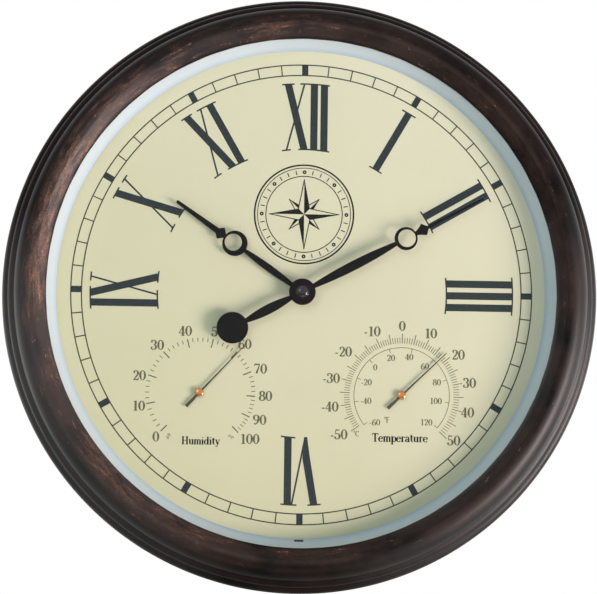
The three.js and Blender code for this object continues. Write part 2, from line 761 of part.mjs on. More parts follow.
function buildContact(side) {
  const x = side * (bayLength / 2 - gap - contactThickness / 2);
  const plate = box(
    contactThickness, contactWidth,
    batteryMiddle - contactWidth / 2, batteryMiddle + contactWidth / 2, x, bayCentre,
  );
  const room = bayLength / 2 - 2 * gap - contactThickness - (batteryLength + batteryNubLength) / 2;
  const bump = disc(2, 0, Math.max(room, 0.2), 10).rotate([0, -side * 90, 0]);
  return plate.add(bump.translate([x, bayCentre, batteryMiddle]));
}

// Hands, drawn pointing to twelve: a leaf, a pierced ring, a diamond and a needle
function leaf(rootY, endY, widest, rootWidth, endWidth) {
  const shape = new THREE.Shape();
  const middle = rootY + (endY - rootY) * 0.55;
  const pull = (endY - rootY) * 0.22;
  shape.moveTo(-rootWidth / 2, rootY);
  shape.lineTo(rootWidth / 2, rootY);
  shape.bezierCurveTo(rootWidth / 2, rootY + pull, widest / 2, middle - pull, widest / 2, middle);
  shape.bezierCurveTo(widest / 2, middle + pull, endWidth / 2, endY - pull, endWidth / 2, endY);
  shape.lineTo(-endWidth / 2, endY);
  shape.bezierCurveTo(-endWidth / 2, endY - pull, -widest / 2, middle + pull, -widest / 2, middle);
  shape.bezierCurveTo(-widest / 2, middle - pull, -rootWidth / 2, rootY + pull, -rootWidth / 2, rootY);
  return shape;
}

// The diamond has hollow flanks on both ends and runs into the needle
function diamondAndNeedle(neckY, middleY, width, needleWidth, tipY) {
  const shape = new THREE.Shape();
  const shoulder = middleY + diamondLength * 0.36;
  const bend = (middleY - neckY) * 0.6;
  shape.moveTo(-neckWidth / 2, neckY);
  shape.lineTo(neckWidth / 2, neckY);
  shape.quadraticCurveTo(neckWidth / 2, neckY + bend, width / 2, middleY);
  shape.quadraticCurveTo(needleWidth * 0.65, middleY + 2, needleWidth / 2, shoulder);
  shape.lineTo(handTipWidth / 2, tipY);
  shape.lineTo(-handTipWidth / 2, tipY);
  shape.lineTo(-needleWidth / 2, shoulder);
  shape.quadraticCurveTo(-needleWidth * 0.65, middleY + 2, -width / 2, middleY);
  shape.quadraticCurveTo(-neckWidth / 2, neckY + bend, -neckWidth / 2, neckY);
  return shape;
}

function buildHand(hand, back) {
  const front = back + handThickness;
  const ringEdge = hand.ringReach - hand.ringRadius + 1;
  const blade = slab(leaf(hubRadius - 2, ringEdge, hand.leafWidth, leafRootWidth, leafEndWidth), back, front, 5);
  const neckY = hand.ringReach + hand.ringRadius - 1;
  const needle = slab(
    diamondAndNeedle(neckY, hand.diamondReach, hand.diamondWidth, hand.needleWidth, hand.reach),
    back, front, 4,
  );
  const eye = disc(hand.ringRadius, back, front, 28).translate([0, hand.ringReach, 0]);
  const hole = disc(hand.ringHole, back - 1, front + 1, 24);
  const boss = disc(hubRadius, back, front).add(disc(hand.bore + 2, back, back + collarHeight));
  const bore = disc(hand.bore, back - 1, back + collarHeight + 1, 20);
  return blade.add(needle).add(eye).add(boss)
    .subtract(hole.translate([0, hand.ringReach + hand.ringHoleShift, 0]))
    .subtract(bore);
}

function buildHourHand() {
  return buildHand({
    reach: hourHandReach, ringReach: hourRingReach, ringRadius: hourRingRadius,
    ringHole: hourRingHole, ringHoleShift: hourRingHoleShift, leafWidth: hourLeafWidth,
    diamondReach: hourDiamondReach, diamondWidth: hourDiamondWidth, needleWidth: hourNeedleWidth,
    bore: hourTubeRadius + gap,
  }, hourHandBack);
}

function buildMinuteHand() {
  const hand = buildHand({
    reach: minuteHandReach, ringReach: minuteRingReach, ringRadius: minuteRingRadius,
    ringHole: minuteRingHole, ringHoleShift: minuteRingHoleShift, leafWidth: minuteLeafWidth,
    diamondReach: minuteDiamondReach, diamondWidth: minuteDiamondWidth, needleWidth: minuteNeedleWidth,
    bore: minuteArborRadius + gap,
  }, minuteHandBack);
  const front = minuteHandBack + handThickness;
  const tailEnd = counterweightReach - counterweightRadius + 1;
  const tail = slab(
    leaf(hubRadius - 2, tailEnd, tailLeafWidth, leafRootWidth, leafEndWidth), minuteHandBack, front, 5,
  ).rotate([0, 0, 180]);
  const weight = disc(counterweightRadius, minuteHandBack, front, 30);
  return hand.add(tail).add(weight.translate([0, -counterweightReach, 0]));
}

// Cap nut: a flat brim that rises to a domed knob, bored for the minute arbor
function buildHandCap() {
  const dome = arc(0, capBack + capHeight - capKnobRadius * 0.55, capKnobRadius, capKnobRadius * 0.55, 10, 90, 4);
  const base = capBack + collarHeight - handThickness; // clears the minute hand's collar
  const section = [
    [minuteArborRadius + gap + 2.3, base],
    [minuteArborRadius + gap + 2.3, capBack],
    [capRadius - 0.8, capBack],
    [capRadius, capBack + capBrim * 0.5],
    [capRadius * 0.93, capBack + capBrim],
    [capRadius * 0.75, capBack + capBrim + 0.7],
    ...dome.map(([r, z]) => [Math.max(r, 0), z]),
  ];
  section[section.length - 1][0] = 0;
  const profile = [
    [0, arborEnd + gap], [minuteArborRadius + gap, arborEnd + gap], [minuteArborRadius + gap, base], ...section,
  ];
  return revolve(profile, 20);
}

// Gauge parts, each drawn on its own pivot
const bracketFront = dialBackDepth - gap;
const bracketBack = bracketFront - bracketDepth;
const coilBack = bracketBack + bracketWall + (bracketDepth - 2 * bracketWall - coilStripWidth) / 2;
const pointerBack = dialFront + pointerLift;

function buildBracket() {
  const hollow = box(
    bracketLength - 2 * bracketWall, bracketWidth + 2, bracketBack + bracketWall, bracketFront - bracketWall,
  );
  const bore = disc(gaugeStaffRadius + gap, bracketBack - 1, bracketFront + 1, 10);
  return box(bracketLength, bracketWidth, bracketBack, bracketFront).subtract(hollow).subtract(bore);
}

function buildStaff() {
  const shaft = disc(gaugeStaffRadius, bracketBack, pointerBack + pointerThickness + 0.8, 10);
  return shaft.add(disc(gaugeStaffCollar, coilBack, coilBack + coilStripWidth, 12));
}

// Spiral strip from the staff's collar to the end wall of the bracket
function buildSpiral() {
  const steps = coilTurns * 14;
  const inner = gaugeStaffCollar + gap;
  const side = (offset) => Array.from({ length: steps + 1 }, (_, i) => {
    const a = (2 * Math.PI * coilTurns * i) / steps;
    const radius = inner + offset + (coilPitch * a) / (2 * Math.PI);
    return [radius * Math.cos(a), radius * Math.sin(a)];
  });
  const anchor = bracketLength / 2 - bracketWall - gap;
  const outerSide = side(coilStrip);
  outerSide[outerSide.length - 1] = [anchor, -coilStrip];
  const innerSide = side(0);
  innerSide[innerSide.length - 1] = [anchor, 0];
  const strip = polygon([...outerSide, ...innerSide.reverse()]);
  return slab(strip, coilBack, coilBack + coilStripWidth);
}

function buildPointer() {
  const blade = polygon([
    [-pointerTailWidth / 2, -pointerTail],
    [pointerTailWidth / 2, -pointerTail],
    [pointerRootWidth / 2 + 0.3, 0],
    [pointerRootWidth / 2, pointerHub],
    [pointerTipWidth / 2, pointerReach],
    [-pointerTipWidth / 2, pointerReach],
    [-pointerRootWidth / 2, pointerHub],
    [-pointerRootWidth / 2 - 0.3, 0],
  ]);
  const hub = disc(pointerHub, pointerBack, pointerBack + pointerThickness, 14);
  const bore = disc(gaugeStaffRadius + gap, pointerBack - 1, pointerBack + pointerThickness + 1, 10);
  return slab(blade, pointerBack, pointerBack + pointerThickness).add(hub).subtract(bore);
}

function buildPointerCap() {
  const back = pointerBack + pointerThickness + gap;
  const bore = gaugeStaffRadius + gap;
  const boreEnd = back + 0.8;
  return revolve([
    [0, boreEnd], [bore, boreEnd], [bore, back], [pointerCapRadius - 0.3, back],
    [pointerCapRadius, back + 0.4], [pointerCapRadius * 0.85, back + pointerCapHeight * 0.6],
    [pointerCapRadius * 0.45, back + pointerCapHeight * 0.95], [0, back + pointerCapHeight],
  ], 16);
}

function addGauge(prefix, x, clockwise) {
  const place = { x, y: -gaugeDrop };
  add(`${prefix}_bracket`, buildBracket(), materials.steel, place);
  add(`${prefix}_coil`, buildSpiral(), materials.brass, place);
  add(`${prefix}_staff`, buildStaff(), materials.steel, { ...place, clockwise });
  add(`${prefix}_pointer`, buildPointer(), materials.darkBrass, { ...place, clockwise });
  add(`${prefix}_pointer_cap`, buildPointerCap(), materials.copper, { ...place, clockwise });
}

// Case
add("frame_ring", buildFrame(), materials.bronze);
add("glass_lens", disc(glassRadius, glassBack, glassFront, ringSides), materials.glass);
add(
  "lens_seal",
  ring(sightRadius + looseFit, glassRadius, lensSealBack, lensSealBack + lensSealThickness, ringSides),
  materials.rubber,
);
add("inner_ring", buildInnerRing(), materials.paleBlue);
add("dial_plate", buildDial(), materials.cream);
add(
  "dial_seal",
  ring(spacerRadius - dialSealWidth, spacerRadius, dialSealBack, dialSealFront, ringSides),
  materials.foam,
);
add(
  "dial_spacer",
  ring(spacerRadius - spacerWall, spacerRadius, coverFront + gap, dialSealBack - gap, ringSides),
  materials.whitePlastic,
);
add("back_cover", buildBackCover(), materials.backPlastic);
add(
  "cover_seal",
  ring(
    rebateRadius - looseFit - coverSealWidth, rebateRadius - looseFit,
    coverSealBack, coverSealBack + coverSealThickness, ringSides,
  ),
  materials.foam,
);
for (let i = 0; i < screwCount; i++) {
  const [x, y] = screwPlace(i);
  add(`cover_screw_${i + 1}`, buildScrew(backRecess, screwLength), materials.steel, { x, y });
}

// Hanger and movement cover
add("hanger_plate", buildHanger(), materials.steel, hangerPlace);
for (const [label, side] of [["left", -1], ["right", 1]]) {
  add(
    `hanger_screw_${label}`, buildScrew(hangerBack, pocketDepth), materials.steel,
    { x: hangerPlace.x + side * hangerScrewReach, y: hangerPlace.y },
  );
}
add("movement_cover", buildLid(), materials.backPlastic);
add("movement_cover_seal", buildLidSeal(), materials.foam);

// Movement
add("movement_base", buildMovementBase(), materials.movementPlastic);
add("movement_back", buildMovementBack(), materials.movementPlastic);
add(
  "rubber_washer", ring(bushingRadius + gap, cushionRadius, cushionBack, cushionFront), materials.rubber,
);
add(
  "brass_washer", ring(bushingRadius + gap, washerRadius, washerBack, washerBack + washerThickness),
  materials.brass,
);
const nutCorner = nutAcrossFlats / Math.sqrt(3);
add(
  "hex_nut",
  disc(nutCorner, nutBack, nutBack + nutThickness, 6)
    .subtract(disc(bushingRadius + gap, nutBack - 1, nutBack + nutThickness + 1)),
  materials.brass,
);
add("battery", buildBattery(), materials.batteryWrap);
add("battery_contact_left", buildContact(-1), materials.steel);
add("battery_contact_right", buildContact(1), materials.steel);
add(
  "circuit_board",
  box(
    boardWidth, boardTall, gearBack, gearBack + boardThickness,
    movementSide / 2 - caseWall - gap - boardWidth / 2, housingTop - caseWall - gap - boardTall / 2,
  ),
  materials.board,
);
add("motor_stator", buildStator(), materials.steel);
add("motor_coil", buildCoil(), materials.copper);
add("motor_rotor", buildRotor(), materials.whitePlastic, rotorAxis);
add(
  "intermediate_wheel",
  buildTrainWheel(
    intermediateTeeth, intermediateLevel, tooth.intermediate,
    intermediatePinionTeeth, secondLevel, tooth.intermediatePinion, housingInside - gap,
  ),
  materials.whitePlastic, intermediateAxis,
);
add(
  "second_wheel",
  buildTrainWheel(
    secondTeeth, secondLevel, tooth.secondWheel,
    secondPinionTeeth, thirdLevel, tooth.secondPinion, housingInside - gap,
  ),
  materials.whitePlastic, secondAxis,
);
add(
  "third_wheel",
  buildTrainWheel(
    thirdTeeth, thirdLevel, tooth.thirdWheel,
    thirdPinionTeeth, centreLevel, tooth.thirdPinion, hourLevel - gap,
  ),
  materials.whitePlastic, thirdAxis,
);
add("centre_wheel", buildCentreWheel(), materials.whitePlastic);
add("minute_arbor", buildMinuteArbor(), materials.brass);
add("minute_wheel", buildMinuteWheel(), materials.whitePlastic, minuteAxis);
add("hour_wheel", buildHourWheel(), materials.whitePlastic);
add("setting_knob", buildSettingKnob(), materials.whitePlastic, knobAxis);

// Hands and gauges
add("hour_hand", buildHourHand(), materials.blackPaint, { clockwise: hourAngle });
add("minute_hand", buildMinuteHand(), materials.blackPaint, { clockwise: minuteAngle });
add("hand_cap", buildHandCap(), materials.bronze, { clockwise: minuteAngle });
addGauge("humidity", -gaugeSpread, humidityAngle);
addGauge("temperature", gaugeSpread, temperatureAngle);

// Stand the clock up, +Z up and the front along -Y, with the origin at half its depth
clock.rotation.x = Math.PI / 2;
clock.position.y = crest / 2;

export default clock;
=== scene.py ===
import json
import math
import bmesh
import bpy
import numpy as np
from mathutils import Matrix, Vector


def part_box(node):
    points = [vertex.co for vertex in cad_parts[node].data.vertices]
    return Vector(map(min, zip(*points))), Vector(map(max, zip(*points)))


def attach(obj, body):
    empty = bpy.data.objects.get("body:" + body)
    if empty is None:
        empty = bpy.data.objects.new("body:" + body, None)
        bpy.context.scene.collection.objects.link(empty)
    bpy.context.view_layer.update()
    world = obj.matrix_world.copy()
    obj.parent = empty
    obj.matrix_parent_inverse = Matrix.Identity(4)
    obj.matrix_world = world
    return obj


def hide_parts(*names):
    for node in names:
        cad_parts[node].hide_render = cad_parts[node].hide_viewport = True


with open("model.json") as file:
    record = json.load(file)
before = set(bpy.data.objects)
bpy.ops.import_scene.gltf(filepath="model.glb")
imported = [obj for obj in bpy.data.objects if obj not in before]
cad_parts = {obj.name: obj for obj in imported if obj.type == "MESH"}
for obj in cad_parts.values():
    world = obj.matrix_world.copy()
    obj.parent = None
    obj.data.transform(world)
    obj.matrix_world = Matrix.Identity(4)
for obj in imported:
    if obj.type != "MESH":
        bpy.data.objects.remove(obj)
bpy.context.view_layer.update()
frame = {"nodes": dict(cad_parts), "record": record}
print("solids loaded:", len(frame["nodes"]), "nodes")

mm = 0.001  # the sizes below are in millimetres, seen from the front, with x to the right and z up
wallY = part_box("frame_ring")[1].y
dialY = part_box("dial_plate")[0].y
mergeDistance = 0.0001  # points nearer than this become one
bevelSlope = 0.7  # a softened edge falls by this share of its width
bevelShare = 0.9  # the most of a half width that it takes


# Meshes. A patch is (points, faces): points as an (n, 3) array, faces as a list of index tuples.

def gridPatch(grid, closeRows=False, closeColumns=False):
    # quads between the neighbours of a (rows, columns, 3) grid of points
    rows, columns = grid.shape[:2]
    row = np.arange(rows if closeRows else rows - 1)
    column = np.arange(columns if closeColumns else columns - 1)
    r, c = np.meshgrid(row, column, indexing="ij")
    nextR, nextC = (r + 1) % rows, (c + 1) % columns
    corners = [r * columns + c, nextR * columns + c, nextR * columns + nextC, r * columns + nextC]
    return grid.reshape(-1, 3), np.stack(corners, -1).reshape(-1, 4).tolist()


def joinPatches(patches):
    # several patches as one, each one's corners counted on from those before it
    points, faces, start = [], [], 0
    for patchPoints, patchFaces in patches:
        points.append(patchPoints)
        faces += [[start + corner for corner in face] for face in patchFaces]
        start += len(patchPoints)
    return np.concatenate(points), faces


def makePiece(name, patch, body, slot, finish=None, sharpAngle=30, attributes=None):
    # a patch as a piece on a body, smooth but at edges sharper than sharpAngle, in its slot's own finish
    # where no other is given; an attribute holds a value or a vector for each point
    points, faces = patch
    mesh = bpy.data.meshes.new(name)
    mesh.from_pydata((points * mm).tolist(), [], faces)
    for attributeName, values in (attributes or {}).items():
        kind, content = ("FLOAT_VECTOR", "vector") if values.ndim == 2 else ("FLOAT", "value")
        layer = mesh.attributes.new(attributeName, kind, "POINT")
        layer.data.foreach_set(content, values.astype(np.float32).ravel())
    work = bmesh.new()
    work.from_mesh(mesh)
    bmesh.ops.remove_doubles(work, verts=work.verts, dist=mergeDistance * mm)
    bmesh.ops.recalc_face_normals(work, faces=work.faces)
    work.to_mesh(mesh)
    work.free()
    mesh.shade_smooth()
    mesh.set_sharp_from_angle(angle=math.radians(sharpAngle))
    mesh.materials.append(finish or finishes[slot])
    piece = bpy.data.objects.new(name, mesh)
    bpy.context.scene.collection.objects.link(piece)
    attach(piece, body)
    return piece


def raised(flat, height):
    # a drawing of (..., 2) points, each brought to its height above the wall
    depth = np.broadcast_to(wallY / mm - np.asarray(height, float), flat.shape[:-1])
    return np.stack([flat[..., 0], depth, flat[..., 1]], -1)


def turnProfile(profile, angle, centre=(0, 0)):
    # a profile of (radius, height above the wall) points, set at each angle round an axis
    radius, height = np.asarray(profile, float).T
    across, upward = np.outer(np.cos(angle), radius), np.outer(np.sin(angle), radius)
    return raised(np.stack([centre[0] + across, centre[1] + upward], -1), height)


def wholeTurn(sides):
    # angles round an axis, without the last one, which is the first again
    return np.linspace(0, 2 * np.pi, sides, endpoint=False)


def lathe(profile, sides, centre=(0, 0), closed=False):
    # a profile turned about an axis; a closed one has its last point joined to its first
    return gridPatch(turnProfile(profile, wholeTurn(sides), centre), closeRows=True, closeColumns=closed)


def arcPoints(centreX, centreY, radiusX, radiusY, start=0, end=360, steps=64):
    # points of an elliptical arc, counted in degrees against the clock; a whole turn ends a step early
    angle = np.radians(np.linspace(start, end, steps + 1)[: steps if abs(end - start) >= 360 else None])
    return np.stack([centreX + radiusX * np.cos(angle), centreY + radiusY * np.sin(angle)], -1)


def direction(degrees):
    # the unit vector at an angle counted clockwise from twelve
    return np.array([math.sin(math.radians(degrees)), math.cos(math.radians(degrees))])


def strokePatch(path, halfWidth, low, high, edge=0.0, crown=0.0, closed=False):
    # a flat bar along a path: at each point its section is a box of the given half width, whose edges at
    # high are cut back by edge and whose middle rises by crown; low and high are heights above the wall
    path = np.asarray(path, float)
    halfWidth = np.broadcast_to(np.asarray(halfWidth, float), (len(path),))
    if closed:
        along = np.roll(path, -1, 0) - np.roll(path, 1, 0)
    else:
        along = np.gradient(path, axis=0)
    along /= np.linalg.norm(along, axis=1, keepdims=True)
    side = np.stack([along[:, 1], -along[:, 0]], -1)
    cut = np.minimum(edge, halfWidth * bevelShare)
    inset = halfWidth - cut
    across = np.stack([-halfWidth, -halfWidth, -inset, 0 * cut, inset, halfWidth, halfWidth], -1)
    bevel, crown = math.copysign(edge * bevelSlope, high - low), math.copysign(crown, high - low)
    height = np.array([low, high - bevel, high, high + crown, high, high - bevel, low])
    flat = path[:, None, :] + across[:, :, None] * side[:, None, :]
    points, faces = gridPatch(raised(flat, height), closeRows=closed, closeColumns=True)
    if closed:
        return points, faces
    count = len(height)
    caps = [[i, i + 1, count - 2 - i, count - 1 - i] for i in range(count // 2 - 1)]
    caps.append([count // 2 - 1, count // 2, count // 2 + 1])
    last = len(points) - count
    return points, faces + caps + [[last + corner for corner in cap] for cap in caps]


# Finishes. Value wraps a socket, so that shader maths is written as plain expressions.

class Value:
    def __init__(self, tree, socket):
        self.tree, self.socket = tree, socket

    def apply(self, operation, *others):
        node = self.tree.nodes.new("ShaderNodeMath")
        node.operation = operation
        for place, other in enumerate((self, *others)):
            if isinstance(other, Value):
                self.tree.links.new(other.socket, node.inputs[place])
            else:
                node.inputs[place].default_value = other
        return Value(self.tree, node.outputs[0])

    def __add__(self, other):
        return self.apply("ADD", other)

    def __sub__(self, other):
        return self.apply("SUBTRACT", other)

    def __mul__(self, other):
        return self.apply("MULTIPLY", other)

    def __truediv__(self, other):
        return self.apply("DIVIDE", other)

    def __rsub__(self, other):
        return self.apply("MULTIPLY", -1.0) + other

    __radd__ = __add__
    __rmul__ = __mul__

    def clamp(self, low=0.0, high=1.0):
        return self.apply("MAXIMUM", low).apply("MINIMUM", high)

    def ramp(self, start, end):
        # 0 at start, 1 at end, straight between them
        return ((self - start) / (end - start)).clamp()


def linear(code):
    # a colour written as RRGGBB, turned from screen values to light
    parts = [int(code[i:i + 2], 16) / 255 for i in (0, 2, 4)]
    return tuple(p / 12.92 if p <= 0.04045 else ((p + 0.055) / 1.055) ** 2.4 for p in parts) + (1.0,)


class Finish:
    def __init__(self, name):
        self.material = bpy.data.materials.new(name)
        self.material.use_nodes = True
        self.tree = self.material.node_tree
        self.shader = self.tree.nodes["Principled BSDF"]
        self.place = self.add("ShaderNodeTexCoord", output="Object")

    def add(self, kind, settings=None, sockets=None, output=0):
        node = self.tree.nodes.new(kind)
        for name, setting in (settings or {}).items():
            setattr(node, name, setting)
        self.fill(node, sockets or {})
        return Value(self.tree, node.outputs[output])

    def fill(self, node, sockets):
        for name, content in sockets.items():
            if isinstance(content, Value):
                self.tree.links.new(content.socket, node.inputs[name])
            else:
                node.inputs[name].default_value = content

    def noise(self, scale, detail=3.0, roughness=0.5, place=None, distortion=0.0):
        sockets = {"Vector": place or self.place, "Scale": scale, "Detail": detail}
        sockets.update({"Roughness": roughness, "Distortion": distortion})
        return self.add("ShaderNodeTexNoise", None, sockets, "Fac")

    def mix(self, factor, first, second):
        return self.add("ShaderNodeMix", {"data_type": "RGBA"}, {0: factor, 6: first, 7: second}, 2)

    def bump(self, height, distance, strength):
        sockets = {"Height": height, "Distance": distance, "Strength": strength}
        return self.add("ShaderNodeBump", None, sockets)

    def attribute(self, name, output="Fac"):
        return self.add("ShaderNodeAttribute", {"attribute_name": name}, None, output)

    def stretch(self, vector, scales):
        return self.add("ShaderNodeVectorMath", {"operation": "MULTIPLY"}, {0: vector, 1: scales})

    def toward(self, vector, way, start, end):
        # how far a place lies one way: 0 at start, 1 at end
        settings, sockets = {"operation": "DOT_PRODUCT"}, {0: vector, 1: way}
        return self.add("ShaderNodeVectorMath", settings, sockets, "Value").ramp(start, end)

    def done(self, **sockets):
        self.fill(self.shader, {name.replace("_", " "): content for name, content in sockets.items()})
        return self.material


frameLook = {
    "darkBrown": "0C0909", "brown": "251915", "patina": "3C2E2A", "powder": "8E6350", "copper": "B27C63",
    "patinaShare": 0.8, "powderShare": 0.75, "copperShare": 0.75, "roughness": 0.4, "coatRoughness": 0.46,
    "polish": 0.02, "crestPolish": 0.65, "rubbedWay": (-0.92, 0.35, 0.0),  # the upper left is rubbed most, and is lighter there also as a painted highlight
    "cloudScale": (5.0, 5.0, 30.0), "regionScale": (3.8, 3.8, 30.0), "streakScale": (12.0, 12.0, 200.0),
    "speckScale": 700.0, "brownRange": (0.35, 0.7), "patinaRange": (0.3, 0.6),
    "powderRange": (0.46, 0.74), "regionRange": (0.48, 0.64), "copperRange": (0.66, 0.76),
}


def frameFinish(s):
    # dark brown bronze paint, cloudy on the rolls, with thin speckled copper where the crest is rubbed;
    # toward the upper left the powder is both rub and a painted highlight, and the coat is a painted sheen
    # low on both sides
    f = Finish("frame_bronze_paint")
    around = f.attribute("around", "Vector")  # the direction from the axis, and the way along the section
    wear = f.attribute("wear")
    cloud = f.noise(1.0, 4.0, 0.6, f.stretch(around, s["cloudScale"]))
    region = f.noise(1.0, 2.0, 0.5, f.stretch(around, s["regionScale"]))
    streak = f.noise(1.0, 6.0, 0.7, f.stretch(around, s["streakScale"]), 0.4)
    speck = f.noise(s["speckScale"], 3.0, 0.65)
    worn = wear * wear
    brown = f.mix(cloud.ramp(*s["brownRange"]), linear(s["darkBrown"]), linear(s["brown"]))
    patina = f.mix(cloud.ramp(*s["patinaRange"]) * worn * s["patinaShare"], brown, linear(s["patina"]))

    # toward the upper left the powder is rubbed bronze and also a painted highlight on the slope
    rubAndPaintedHighlightSide = f.toward(around, s["rubbedWay"], -1.3, 0.9)
    grains = (streak * 1.1 + (speck - 0.5) * 0.45).ramp(*s["powderRange"])
    powder = grains * (region + rubAndPaintedHighlightSide * 0.08).ramp(*s["regionRange"]) * wear.ramp(0.2, 0.9)
    powderAndPaintedHighlight = f.mix(powder * rubAndPaintedHighlightSide * rubAndPaintedHighlightSide * s["powderShare"], patina, linear(s["powder"]))
    rubbed = (streak + (speck - 0.5) * 0.4 + rubAndPaintedHighlightSide * 0.05).ramp(*s["copperRange"]) * wear.ramp(0.3, 0.9)
    colour = f.mix(rubbed * s["copperShare"], powderAndPaintedHighlight, linear(s["copper"]))
    # coat weight by side of the clock: painted sheen low on the right and low on the left, and on the crest
    # toward the upper left, where it is also polish from rubbing
    paintedSheenLowRight = f.toward(around, (0.87, -0.5, 0.0), 0.6, 0.97)
    paintedSheenLowLeft = f.toward(around, (-0.87, -0.5, 0.0), 0.7, 0.98)
    polish = s["polish"] + worn * rubAndPaintedHighlightSide * rubAndPaintedHighlightSide * s["crestPolish"] + (1 - worn) * (paintedSheenLowRight + paintedSheenLowLeft)
    return f.done(
        Base_Color=colour,
        Metallic=0.1,
        Coat_Weight=polish.clamp(),
        Coat_Roughness=s["coatRoughness"],
        Roughness=(s["roughness"] + (cloud - 0.5) * 0.06 + (speck - 0.5) * 0.12).clamp(0.25, 0.8),
        Specular_IOR_Level=0.04,
        Normal=f.bump(f.noise(420.0, 2.0) * 0.6 + cloud * 0.3, 0.0003, 0.3),
    )


def paintFinish(name, light, dark, rough, mottle=30.0, grain=700.0, depth=0.00006, metal=0.0, level=0.5):
    # plain paint, plastic or rubber: two near tones in soft clouds, with a fine grain
    f = Finish(name)
    cloud = f.noise(mottle, 3.0, 0.55)
    fine = f.noise(grain, 2.0)
    return f.done(
        Base_Color=f.mix((cloud * 1.6 - 0.3).clamp(), linear(dark), linear(light)),
        Metallic=metal,
        Roughness=(rough + (cloud - 0.5) * 0.12 + (fine - 0.5) * 0.08).clamp(0.02, 1.0),
        Specular_IOR_Level=level,
        Normal=f.bump(fine, depth, 0.6),
    )


def metalFinish(name, light, dark, rough, brush=(40.0, 900.0, 900.0)):
    # bare metal, brushed along one direction
    f = Finish(name)
    lines = f.noise(1.0, 4.0, 0.6, f.stretch(f.place, brush))
    cloud = f.noise(60.0, 3.0)
    return f.done(
        Base_Color=f.mix((cloud * 0.6 + lines * 0.6 - 0.1).clamp(), linear(dark), linear(light)),
        Metallic=1.0,
        Roughness=(rough + (lines - 0.5) * 0.2).clamp(0.08, 0.9),
        Normal=f.bump(lines, 0.00003, 0.5),
    )


ringLook = {
    "white": "D1DCE2", "dimWhite": "C9D5DC", "foot": "9AB9DB", "footShare": 0.5, "footHeight": 0.4,
    "cloudScale": 9.0, "roughness": 0.5,
}


def ringFinish(s):
    # white paint that turns pale blue toward the ring's foot, and darker there also as painted shade where it
    # meets the dial
    f = Finish("white_ring_paint")
    # toward the foot: a real pale blue, and a painted shade where the ring meets the dial
    foot = 1 - f.attribute("rise").ramp(0.02, s["footHeight"])
    cloud = f.noise(s["cloudScale"], 3.0, 0.55)
    white = f.mix(cloud, linear(s["dimWhite"]), linear(s["white"]))
    return f.done(
        Base_Color=f.mix(foot * s["footShare"], white, linear(s["foot"])),
        Roughness=(s["roughness"] + (cloud - 0.5) * 0.1).clamp(),
        Specular_IOR_Level=0.3,
        Normal=f.bump(f.noise(800.0, 2.0), 0.00003, 0.5),
    )


dialLook = {
    "aged": "D4CFA5", "fresh": "EEEACA", "cool": "E0DCE6", "fibre": "D0CBA6",
    "coolShare": 0.12, "fibreShare": 0.14, "mottle": 0.47, "ageSpan": 0.363, "coolSpan": 0.24,
    "cloudScale": 6.0, "fibreScale": 520.0, "roughness": 0.55,
}


def dialFinish(s):
    # cream lacquer with the faint mottle of age; lighter toward the top and darker toward the foot as painted
    # light and shade, and cooler toward the right as painted cool light
    f = Finish("dial_cream_lacquer")
    cloud = f.noise(s["cloudScale"], 4.0, 0.6)
    fibre = f.noise(s["fibreScale"], 3.0, 0.6)
    # lighter toward the top, darker toward the foot: painted light and shade; cooler toward the right:
    # painted cool light
    upward = f.toward(f.place, (0.14, 0.0, 0.99), -s["ageSpan"], s["ageSpan"])
    paintedCoolLightRightward = f.toward(f.place, (1.0, 0.0, 0.0), -s["coolSpan"], s["coolSpan"])
    tone = (upward + (cloud - 0.5) * s["mottle"]).clamp()
    colour = f.mix(tone, linear(s["aged"]), linear(s["fresh"]))
    colour = f.mix(paintedCoolLightRightward * s["coolShare"], colour, linear(s["cool"]))
    colour = f.mix(fibre.ramp(0.35, 0.8) * s["fibreShare"], colour, linear(s["fibre"]))
    return f.done(
        Base_Color=colour,
        Roughness=(s["roughness"] + (fibre - 0.5) * 0.14).clamp(),
        Specular_IOR_Level=0.2,
        Normal=f.bump(fibre, 0.00003, 0.4),
    )


def inkFinish(name, light, dark):
    # printed ink: dense, with a slightly uneven film
    f = Finish(name)
    film = f.noise(300.0, 3.0, 0.6)
    return f.done(
        Base_Color=f.mix(film, linear(dark), linear(light)),
        Roughness=(0.5 + (film - 0.5) * 0.2).clamp(),
        Specular_IOR_Level=0.12,
        Normal=f.bump(film, 0.00002, 0.4),
    )


def glassFinish():
    # clear glass: see-through, with a faint film of dust that only the brightest light shows
    f = Finish("clear_glass")
    dust = f.noise(14.0, 4.0, 0.6)
    f.material.surface_render_method = "BLENDED"
    return f.done(
        Base_Color=f.mix(dust, linear("8A908F"), linear("6C7271")),
        Roughness=(0.04 + dust * 0.03).clamp(),
        Alpha=(0.01 + dust * 0.01).clamp(),
    )


